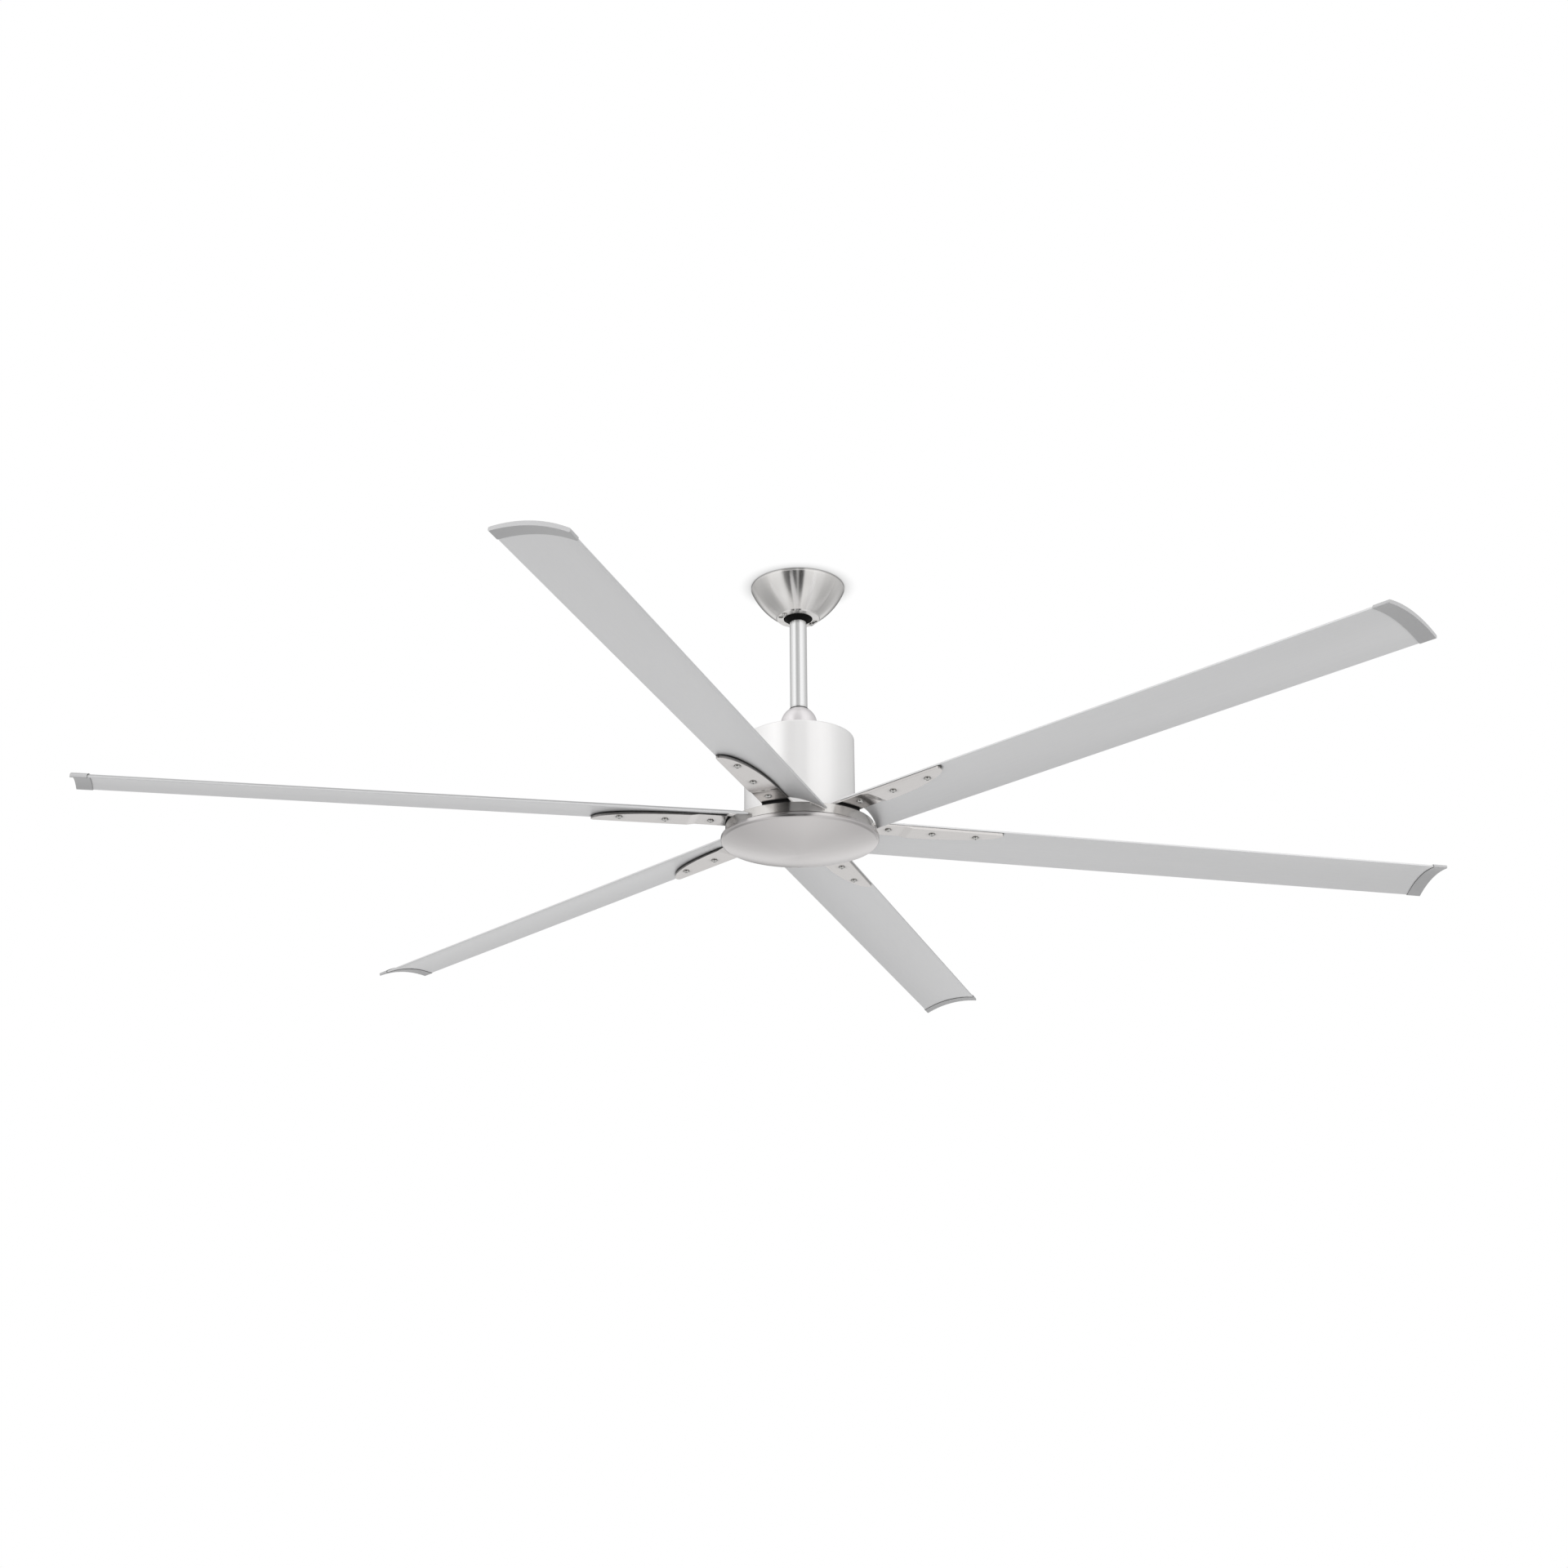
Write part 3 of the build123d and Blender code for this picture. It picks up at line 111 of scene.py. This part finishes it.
# Lamps: name, place, size and power, all aimed at the fan's middle
LAMP_AIM = Vector((0, 0, -0.35))
LAMPS = [
    ("key", (-2.2, -2.4, 0.9), (1.6, 1.6), 55),
    ("fill", (2.6, -1.6, 0.2), (1.2, 1.8), 22),
]

WHITE = (1.0, 1.0, 1.0)
# The world's light on matte surfaces
WORLD_TONE = (0.80, 0.80, 0.80)
# Panels that metal mirrors: turn from behind the fan (0) by way of the camera (0.5), and tone
STUDIO_PANELS = [
    (0.00, 1.00),
    (0.08, 0.80),
    (0.13, 0.50),
    (0.22, 0.52),
    (0.27, 0.74),
    (0.31, 1.00),
    (0.385, 1.00),
    (0.405, 0.22),
    (0.45, 0.04),
    (0.485, 0.04),
    (0.50, 0.55),
    (0.515, 0.04),
    (0.54, 0.06),
    (0.555, 1.00),
    (0.63, 1.00),
    (0.68, 0.86),
    (0.75, 0.62),
    (0.84, 0.56),
    (0.90, 0.60),
    (0.96, 1.00),
]
# Tone by height, from straight down (0) by way of the horizon (0.5) to straight up (1)
STUDIO_HEIGHTS = [
    (0.0, 0.88),
    (0.10, 0.84),
    (0.20, 0.66),
    (0.34, 0.74),
    (0.44, 0.95),
    (0.5, 1.0),
    (1.0, 1.0),
]
# How much of the panels is left towards straight up and down, and the tone they give way to
STUDIO_STEEP = [(0.80, 1.0), (0.995, 0.0)]
STUDIO_ENDS = (0.85, 0.85, 0.85)
# How far the panels fade above the horizon, and into what
STUDIO_FADE = [(0.50, 0.0), (0.60, 0.5)]
STUDIO_PALE = (0.92, 0.92, 0.92)
# A dark drape behind the fan, which gives round metal its thin contours, by turn and by height
DRAPE = [
    (0.0, 0.08),
    (0.05, 0.18),
    (0.10, 0.55),
    (0.18, 0.92),
    (0.24, 1.0),
    (0.68, 1.0),
    (0.80, 0.76),
    (0.90, 0.58),
    (0.95, 0.18),
    (1.0, 0.08),
]
DRAPE_HEIGHTS = [(0.47, 1.0), (0.56, 0.0)]


def camera():
    """The camera at the photograph's place, pitched up, with its small yaw and roll."""
    forward = Vector((
        sin(CAMERA_YAW) * cos(CAMERA_PITCH),
        cos(CAMERA_YAW) * cos(CAMERA_PITCH),
        sin(CAMERA_PITCH),
    ))
    level = Vector((cos(CAMERA_YAW), -sin(CAMERA_YAW), 0))
    rise = level.cross(forward)
    right = level * cos(CAMERA_ROLL) + rise * sin(CAMERA_ROLL)
    up = -level * sin(CAMERA_ROLL) + rise * cos(CAMERA_ROLL)
    data = bpy.data.cameras.new("camera")
    data.lens = CAMERA_LENS
    data.sensor_width = CAMERA_SENSOR
    data.clip_end = CAMERA_REACH
    eye = bpy.data.objects.new("camera", data)
    bpy.context.scene.collection.objects.link(eye)
    turn = Matrix((right, up, -forward)).transposed().to_4x4()
    eye.matrix_world = Matrix.Translation(CAMERA_PLACE) @ turn
    bpy.context.scene.camera = eye


class Tree:
    """The node tree of a material or a world, with short calls to add nodes and join them."""

    def __init__(self, owner, output="OutputMaterial"):
        owner.use_nodes = True
        self.owner = owner
        self.tree = owner.node_tree
        self.tree.nodes.clear()
        self.output = self.add(output)

    def add(self, kind, inputs=None, **settings):
        """A node with its settings and inputs; an input is a value or another node's socket."""
        made = self.tree.nodes.new("ShaderNode" + kind)
        for key, value in settings.items():
            setattr(made, key, value)
        for key, value in (inputs or {}).items():
            self.feed(made.inputs[key], value)
        return made

    def feed(self, socket, value):
        """Joins a socket to another one, or sets its value; a colour has three numbers here."""
        if isinstance(value, bpy.types.NodeSocket):
            self.tree.links.new(value, socket)
        elif socket.type == "RGBA":
            socket.default_value = (*value, 1)
        else:
            socket.default_value = value

    def math(self, operation, *values):
        """The outcome of a sum on numbers and sockets."""
        return self.add("Math", dict(enumerate(values)), operation=operation).outputs[0]

    def place(self, turn=0.0):
        """Coordinates in the object's own frame, turned back by an angle in degrees."""
        source = self.add("TexCoord").outputs["Object"]
        if not turn:
            return source
        return self.add(
            "VectorRotate", {"Vector": source, "Angle": -radians(turn)}, rotation_type="Z_AXIS"
        ).outputs[0]

    def noise(self, vector, scale, detail=2.0, rough=0.5):
        """Noise from 0 to 1; a scale of three numbers stretches it."""
        if isinstance(scale, tuple):
            vector = self.add("Mapping", {"Vector": vector, "Scale": scale}).outputs[0]
            scale = 1.0
        made = self.add(
            "TexNoise", {"Vector": vector, "Scale": scale, "Detail": detail, "Roughness": rough}
        )
        return made.outputs["Fac"]

    def ramp(self, value, stops):
        """A ramp of greys through stops of place and tone."""
        made = self.add("ValToRGB", {"Fac": value})
        line = made.color_ramp
        while len(line.elements) < len(stops):
            line.elements.new(0.5)
        for element, (at, tone) in zip(line.elements, stops):
            element.position = at
            element.color = (tone, tone, tone, 1)
        return made.outputs["Color"]

    def mix(self, share, first, second, blend="MIX"):
        """A colour between two, or one blended over the other."""
        made = self.add(
            "Mix", {0: share, 6: first, 7: second}, data_type="RGBA", blend_type=blend
        )
        return made.outputs[2]

    def gloss(self, grain, spread, roughness):
        """A roughness that the grain spreads evenly about its middle."""
        return self.math("MULTIPLY_ADD", grain, spread, roughness - spread / 2)

    def bump(self, height, strength, distance, edge=0.0):
        """Fine relief; edge is the radius in metres that the light sees on sharp edges."""
        made = self.add("Bump", {"Height": height, "Strength": strength, "Distance": distance})
        if edge:
            bevel = self.add("Bevel", {"Radius": edge}, samples=4)
            self.feed(made.inputs["Normal"], bevel.outputs[0])
        return made.outputs[0]

    def painted_shade(self, colour, reach, depth, alone=False):
        """The colour with painted shade from ambient occlusion: darker in corners and, unless alone,
        where another piece is within reach.
        """
        open_share = self.add(
            "AmbientOcclusion", {"Distance": reach}, samples=6, only_local=alone
        ).outputs["AO"]
        shade = self.math("POWER", open_share, depth)
        return self.mix(1.0, colour, shade, "MULTIPLY")

    def principled(self, **inputs):
        """A Principled shader, whose inputs are written with _ for a space."""
        named = {key.replace("_", " "): value for key, value in inputs.items()}
        return self.add("BsdfPrincipled", named).outputs[0]

    def show(self, shader):
        """Joins a shader to the output, and returns the material or world."""
        self.feed(self.output.inputs["Surface"], shader)
        return self.owner

    def around_axis(self, vector):
        """A place about the fan's axis: a unit vector for its angle, its radius and height."""
        across, along, height = self.add("SeparateXYZ", {0: vector}).outputs
        flat = self.add("CombineXYZ", {0: across, 1: along}).outputs[0]
        radius = self.add("VectorMath", {0: flat}, operation="LENGTH").outputs["Value"]
        unit = self.add("VectorMath", {0: flat}, operation="NORMALIZE").outputs[0]
        return unit, radius, height


def material_tree(name):
    """The empty node tree of a new material."""
    return Tree(bpy.data.materials.new(name))


def spun_metal(name, dark, light, roughness, bands=3.0, contrast=0.5, anisotropy=0.6,
               metallic=1.0, edge=0.4 * MM):
    """Metal brushed round the axis: painted reflections in bands of light and shade along its
    meridians, a fine turned grain, and painted shade in corners.
    """
    tree = material_tree(name)
    unit, radius, height = tree.around_axis(tree.place())
    # Painted reflection: broad and fine streaks round the axis set the colour between its dark and
    # light tones
    broad = tree.noise(unit, (bands, bands, bands), 3.0, 0.55)
    fine = tree.noise(unit, FINE_REFLECTION_STREAKS, 3.0, 0.6)
    outline = tree.add("CombineXYZ", {0: radius, 1: height}).outputs[0]
    turned = tree.noise(outline, TURNED_GRAIN, 3.0, 0.6)
    soft = 0.25 * (1 - contrast)
    share = tree.ramp(broad, [(0.5 - soft, 0.0), (0.5 + soft, 1.0)])
    share = tree.mix(REFLECTION_STREAK_SHARE, share, fine)
    colour = tree.mix(share, dark, light)
    colour = tree.mix(TURNED_SHARE, colour, turned, "OVERLAY")
    return tree.show(tree.principled(
        # Painted shade in corners and next to other pieces
        Base_Color=tree.painted_shade(colour, 5 * MM, 1.4),
        Metallic=metallic,
        Roughness=tree.gloss(turned, 0.06, roughness),
        Anisotropic=anisotropy,
        Anisotropic_Rotation=0.25,
        Tangent=tree.add("Tangent", direction_type="RADIAL", axis="Z").outputs[0],
        Normal=tree.bump(turned, 0.02, 0.01 * MM, edge),
    ))


def plain_metal(name, colour, roughness):
    """Plated or satin metal with a slight mottle, and painted shade in its own recesses."""
    tree = material_tree(name)
    mottle = tree.noise(tree.place(), METAL_MOTTLE, 4.0, 0.6)
    shade = tuple(part * METAL_SHADE for part in colour)
    return tree.show(tree.principled(
        # Painted shade in the piece's own recesses, such as screw crosses
        Base_Color=tree.painted_shade(tree.mix(mottle, shade, colour), 2 * MM, 3.0, alone=True),
        Metallic=1.0,
        Roughness=tree.gloss(mottle, 0.16, roughness),
        Normal=tree.bump(mottle, 0.03, 0.02 * MM),
    ))


def blade_metal(name, turn):
    """Anodised extrusion: matte silver with a faint grain along the blade, and painted shade in
    corners and next to other pieces.
    """
    tree = material_tree(name)
    place = tree.place(turn)
    grain = tree.noise(place, BLADE_GRAIN, 3.0, 0.6)
    clouds = tree.noise(place, BLADE_CLOUDS, 2.0, 0.5)
    colour = tree.mix(grain, (0.77, 0.77, 0.775), (0.83, 0.83, 0.835))
    colour = tree.mix(0.10, colour, clouds, "OVERLAY")
    return tree.show(tree.principled(
        # Painted shade near the brackets and in corners
        Base_Color=tree.painted_shade(colour, 4 * MM, 1.5),
        Metallic=0.6,
        Roughness=tree.gloss(grain, 0.10, 0.41),
        Normal=tree.bump(grain, 0.05, 0.02 * MM),
    ))


def bracket_metal(name, turn):
    """Satin nickel plate, brushed along the blade, with painted shade in corners and where other
    pieces are near.
    """
    tree = material_tree(name)
    place = tree.place(turn)
    grain = tree.noise(place, BRACKET_GRAIN, 3.0, 0.6)
    clouds = tree.noise(place, BRACKET_CLOUDS, 2.0, 0.5)
    colour = tree.mix(grain, (0.74, 0.715, 0.70), (0.83, 0.805, 0.79))
    colour = tree.mix(0.12, colour, clouds, "OVERLAY")
    return tree.show(tree.principled(
        # Painted shade: darker along edges under the blade, on the pad and in corners
        Base_Color=tree.painted_shade(colour, 9 * MM, 3.0),
        Metallic=1.0,
        Roughness=tree.gloss(grain, 0.08, 0.16),
        Normal=tree.bump(grain, 0.03, 0.01 * MM, 0.5 * MM),
    ))


def plastic(name, colour, roughness, shade_reach=0.0, shine=0.5):
    """Moulded plastic or rubber with fine pores, and painted shade in corners within the given reach.
    """
    tree = material_tree(name)
    pores = tree.noise(tree.place(), PLASTIC_PORES, 3.0, 0.6)
    shade = tuple(part * PLASTIC_SHADE for part in colour)
    base = tree.mix(pores, shade, colour)
    return tree.show(tree.principled(
        Base_Color=tree.painted_shade(base, shade_reach, 3.0) if shade_reach else base,
        Specular_IOR_Level=shine,
        Roughness=tree.gloss(pores, 0.12, roughness),
        Normal=tree.bump(pores, 0.10, 0.05 * MM),
    ))


def paint(names, material):
    """Gives CAD nodes a material."""
    for name in names:
        item = nodes[name]
        if not item.material_slots:
            item.data.materials.append(material)
        for place in item.material_slots:
            place.material = material


def finishes():
    """The finish of every CAD node."""
    # Spun metals: their dark and light tones bound the painted reflection bands in the colour
    paint(["canopy"], spun_metal(
        "canopy_nickel", (0.88, 0.86, 0.84), (0.98, 0.965, 0.95), 0.20,
        contrast=0.4, anisotropy=1.0,
    ))
    paint(["bottom_cap"], spun_metal(
        "cap_nickel", (0.70, 0.675, 0.67), (0.76, 0.735, 0.73), 0.26,
        bands=1.0, contrast=0.0, anisotropy=0.5, edge=1.2 * MM,
    ))
    paint(["hub_ring"], spun_metal(
        "hub_nickel", (0.66, 0.64, 0.62), (0.84, 0.82, 0.80), 0.22,
        contrast=0.3, anisotropy=1.0,
    ))
    paint(["motor_housing"], spun_metal(
        "housing_nickel", (0.86, 0.85, 0.845), (0.92, 0.915, 0.91), 0.34,
        bands=1.6, contrast=0.2, anisotropy=0.5, metallic=0.45,
    ))
    paint(["coupling_cover"], spun_metal(
        "cover_nickel", (0.84, 0.81, 0.82), (0.90, 0.875, 0.885), 0.38,
        bands=1.5, contrast=0.0, anisotropy=0.3, metallic=0.7,
    ))
    paint(["downrod"], spun_metal(
        "rod_nickel", (0.92, 0.92, 0.92), (0.97, 0.97, 0.97), 0.22,
        bands=1.5, contrast=0.2, anisotropy=0.4,
    ))
    numbers = range(1, BLADE_COUNT + 1)
    for number in numbers:
        turn = BLADE_PHASE + BLADE_TURN * (number - 1)
        paint([f"blade_{number}"], blade_metal(f"blade_silver_{number}", turn))
        paint([f"blade_bracket_{number}"], bracket_metal(f"bracket_nickel_{number}", turn))
    paint(
        [f"blade_end_cap_{number}" for number in numbers],
        # The end caps get painted shade in corners within 5 mm
        plastic("end_cap_plastic", (0.50, 0.50, 0.505), 0.36, shade_reach=5 * MM),
    )
    paint(["hanger_ball"], plastic("black_nylon", (0.003, 0.003, 0.003), 0.7, shine=0.15))
    paint(["cover_seal", "bracket_gaskets"], plastic("black_rubber", (0.010, 0.010, 0.010), 0.6))
    paint(
        ["terminal_block", "lead_connector", "stator_insulators", "board_standoffs"],
        plastic("white_plastic", (0.80, 0.80, 0.78), 0.4),
    )
    paint(["driver_board", "receiver_board"], plastic("board_green", (0.02, 0.16, 0.07), 0.4))
    paint(["driver_capacitor"], plastic("capacitor_sleeve", (0.03, 0.03, 0.09), 0.35))
    paint(["motor_leads"], plastic("lead_black", (0.03, 0.03, 0.03), 0.45))
    paint(
        ["hanger_bracket", "ball_pin", "ball_set_screw", "yoke_pin", "yoke_clip", "yoke_set_screws",
         "housing_screws", "shell_screws", "shaft_nut", "cap_plate", "motor_shaft"],
        plain_metal("zinc_steel", (0.66, 0.66, 0.64), 0.34),
    )
    paint(["earth_screw"], plain_metal("green_screw", (0.05, 0.30, 0.09), 0.35))
    paint(["rod_yoke"], plain_metal("cast_zinc", (0.42, 0.42, 0.43), 0.5))
    steel = plain_metal("bright_steel", (0.80, 0.79, 0.77), 0.20)
    paint(["blade_screws", "hub_bolts", "canopy_screws"], steel)
    screw_set("blade_screw_heads", "blade_screws", "rotor", BLADE_SCREW, steel)
    screw_set("canopy_screw_heads", "canopy_screws", "ceiling_mount", CANOPY_SCREW, steel)
    paint(
        ["bearing_inner_rings", "bearing_outer_rings", "bearing_balls"],
        plain_metal("bearing_steel", (0.72, 0.72, 0.74), 0.14),
    )
    paint(["stator_core"], plain_metal("lamination", (0.25, 0.25, 0.27), 0.45))
    paint(["stator_windings"], plain_metal("copper", (0.62, 0.25, 0.10), 0.35))
    paint(["rotor_magnets"], plain_metal("magnet", (0.28, 0.28, 0.29), 0.35))
    paint(["rotor_shell", "driver_heatsink"], plain_metal("cast_aluminium", (0.62, 0.62, 0.62), 0.42))


def screw_groups(name):
    """The vertices of a node of screws, one list for each screw."""
    groups = []
    for vertex in nodes[name].data.vertices:
        for group in groups:
            if (group[0] - vertex.co).length < SCREW_REACH * MM:
                group.append(vertex.co.copy())
                break
        else:
            groups.append([vertex.co.copy()])
    return groups


def end_centre(group, level):
    """The middle of the vertices of a screw that lie at one of its ends."""
    points = [point for point in group if abs(point.z - level) < SCREW_END * MM]
    across = [point.x for point in points]
    along = [point.y for point in points]
    return Vector(((min(across) + max(across)) / 2, (min(along) + max(along)) / 2, level))


def circle(radius, level, sides):
    """Places on a circle at a level, in order."""
    turns = [2 * pi * n / sides for n in range(sides)]
    return [(radius * cos(turn), radius * sin(turn), level) for turn in turns]


def add_ring(bm, place, radius, level):
    """A ring of vertices round a screw's own axis."""
    return [bm.verts.new(place @ Vector(point)) for point in circle(radius, level, SCREW_SIDES)]


def add_cross(bm, place, span, half_width, level, turn):
    """The twelve corners of a cross recess."""
    corners = []
    for arm in range(4):
        across = Matrix.Rotation(turn + arm * pi / 2, 4, "Z")
        for x, y in ((span, -half_width), (span, half_width), (half_width, half_width)):
            corners.append(bm.verts.new(place @ (across @ Vector((x, y, level)))))
    return corners


def bridge(bm, first, second, smooth=False):
    """Faces between two loops of as many vertices."""
    for n in range(len(first)):
        after = (n + 1) % len(first)
        bm.faces.new((first[n], first[after], second[after], second[n])).smooth = smooth


def add_screw(bm, head, tip, size, turn):
    """A pan head screw with a cross recess, from its head's outer face to its tip."""
    shank, radius, height = (part * MM for part in size)
    outward = (head - tip).normalized()
    seat = head - outward * height
    place = Matrix.Translation(seat) @ outward.to_track_quat("Z", "Y").to_matrix().to_4x4()
    rings = [add_ring(bm, place, shank, -(seat - tip).length), add_ring(bm, place, shank, 0)]
    bm.faces.new(reversed(rings[0]))
    rings += [add_ring(bm, place, radius * wide, height * high) for wide, high in HEAD_SHARES]
    # All but the head's flat underside are smooth
    for number, (low, high) in enumerate(zip(rings, rings[1:])):
        bridge(bm, low, high, smooth=number != 1)
    span = radius * RECESS_SPAN_SHARE
    half_width = radius * RECESS_HALF_WIDTH_SHARE
    mouth = add_cross(bm, place, span, half_width, height, turn)
    shrunk = RECESS_FLOOR_SHARE
    depth = height * (1 - RECESS_DEPTH_SHARE)
    bottom = add_cross(bm, place, span * shrunk, half_width * shrunk, depth, turn)
    face = rings[-1] + mouth
    flat = place.inverted()
    loops = [[flat @ vertex.co for vertex in rings[-1]], [flat @ vertex.co for vertex in mouth]]
    for corners in tessellate_polygon(loops):
        bm.faces.new([face[n] for n in corners])
    bridge(bm, mouth, bottom)
    bm.faces.new(bottom)


def screw_set(name, node, body, size, material):
    """Detailed screws in the place of a node of plain ones."""
    bm = bmesh.new()
    for number, group in enumerate(screw_groups(node)):
        head = end_centre(group, min(point.z for point in group))
        tip = end_centre(group, max(point.z for point in group))
        add_screw(bm, head, tip, size, SCREW_TURN * number)
    bmesh.ops.recalc_face_normals(bm, faces=bm.faces)
    mesh = bpy.data.meshes.new(name)
    bm.to_mesh(mesh)
    bm.free()
    mesh.materials.append(material)
    piece = bpy.data.objects.new(name, mesh)
    bpy.context.scene.collection.objects.link(piece)
    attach(piece, body)
    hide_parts(node)


def world():
    """White where it is seen. Metal sees a studio with soft dark and bright panels round it."""
    studio = bpy.data.worlds.new("studio")
    bpy.context.scene.world = studio
    tree = Tree(studio, "OutputWorld")
    way = tree.add("SeparateXYZ", {0: tree.add("TexCoord").outputs["Generated"]})
    across, along, rise = way.outputs
    round_turn = tree.math("ARCTAN2", across, tree.math("MULTIPLY", along, -1.0))
    place = tree.math("ADD", tree.math("DIVIDE", round_turn, 2 * pi), 0.5)
    height = tree.math("ADD", tree.math("MULTIPLY", rise, 0.5), 0.5)
    steep = tree.ramp(tree.math("ABSOLUTE", rise), STUDIO_STEEP)
    panels = tree.mix(steep, STUDIO_ENDS, tree.ramp(place, STUDIO_PANELS))
    panels = tree.mix(tree.ramp(height, STUDIO_FADE), panels, STUDIO_PALE)
    mirrored = tree.mix(1.0, panels, tree.ramp(height, STUDIO_HEIGHTS), "MULTIPLY")
    drape = tree.mix(tree.ramp(height, DRAPE_HEIGHTS), tree.ramp(place, DRAPE), WHITE)
    mirrored = tree.mix(1.0, mirrored, drape, "MULTIPLY")
    path = tree.add("LightPath").outputs
    seen = tree.math("MAXIMUM", path["Is Camera Ray"], path["Is Transmission Ray"])
    colour = tree.mix(path["Is Glossy Ray"], WORLD_TONE, mirrored)
    colour = tree.mix(seen, colour, WHITE)
    tree.show(tree.add("Background", {"Color": colour}).outputs[0])


def lamp(name, place, size, power):
    """A soft lamp that points from a place at the fan's middle."""
    data = bpy.data.lights.new(name, "AREA")
    data.shape = "RECTANGLE"
    data.size, data.size_y = size
    data.energy = power
    item = bpy.data.objects.new(name, data)
    bpy.context.scene.collection.objects.link(item)
    item.location = place
    item.rotation_euler = (LAMP_AIM - Vector(place)).to_track_quat("-Z", "Y").to_euler()
    item.visible_camera = False
    item.visible_glossy = False


def disc(name, radius, level):
    """A flat round mesh that faces up."""
    mesh = bpy.data.meshes.new(name)
    mesh.from_pydata(circle(radius, level, DISC_SIDES), [], [tuple(range(DISC_SIDES))])
    return mesh


def stage_object(name, mesh, material):
    """A piece of the stage, which metal doesn't mirror."""
    item = bpy.data.objects.new(name, mesh)
    bpy.context.scene.collection.objects.link(item)
    mesh.materials.append(material)
    item.visible_glossy = False


def floor():
    """A pale floor far below the fan, which fades into the background and is clear from below."""
    tree = material_tree("floor_pale")
    place = tree.place()
    spots = tree.noise(place, 3.0)
    pale = tree.principled(
        Base_Color=tree.mix(spots, (0.66, 0.66, 0.66), (0.70, 0.70, 0.70)), Roughness=0.7
    )
    _, radius, _ = tree.around_axis(place)
    fade = tree.ramp(tree.math("DIVIDE", radius, FLOOR_RADIUS), FLOOR_FADE)
    clear = tree.add("BsdfTransparent").outputs[0]
    behind = tree.add("NewGeometry").outputs["Backfacing"]
    hidden = tree.math("MAXIMUM", fade, behind)
    pale = tree.add("MixShader", {0: hidden, 1: pale, 2: clear}).outputs[0]
    stage_object("floor", disc("floor", FLOOR_RADIUS, FLOOR_LEVEL), tree.show(pale))


def ceiling():
    """A small round of white ceiling that glows, with the canopy's soft shadow painted into its glow
    by ambient occlusion, clear from above.
    """
    mesh = disc("ceiling", CEILING_RADIUS, CEILING_LEVEL)
    mesh.flip_normals()
    tree = material_tree("ceiling_white")
    # Painted shadow: ambient occlusion darkens the glow near the canopy
    near = tree.add("AmbientOcclusion", {"Distance": CEILING_SHADOW}, samples=16).outputs["AO"]
    _, radius, _ = tree.around_axis(tree.place())
    fade = tree.ramp(tree.math("DIVIDE", radius, CEILING_RADIUS), CEILING_FADE)
    shade = tree.mix(fade, near, WHITE)
    glow = tree.add("Emission", {"Color": shade, "Strength": 1.0}).outputs[0]
    clear = tree.add("BsdfTransparent").outputs[0]
    path = tree.add("LightPath").outputs["Is Camera Ray"]
    behind = tree.add("NewGeometry").outputs["Backfacing"]
    hidden = tree.math("MAXIMUM", tree.math("SUBTRACT", 1.0, path), behind)
    glow = tree.add("MixShader", {0: hidden, 1: glow, 2: clear}).outputs[0]
    stage_object("ceiling", mesh, tree.show(glow))


camera()
finishes()
world()
floor()
ceiling()
for settings in LAMPS:
    lamp(*settings)

bpy.context.scene.view_settings.view_transform = "Standard"
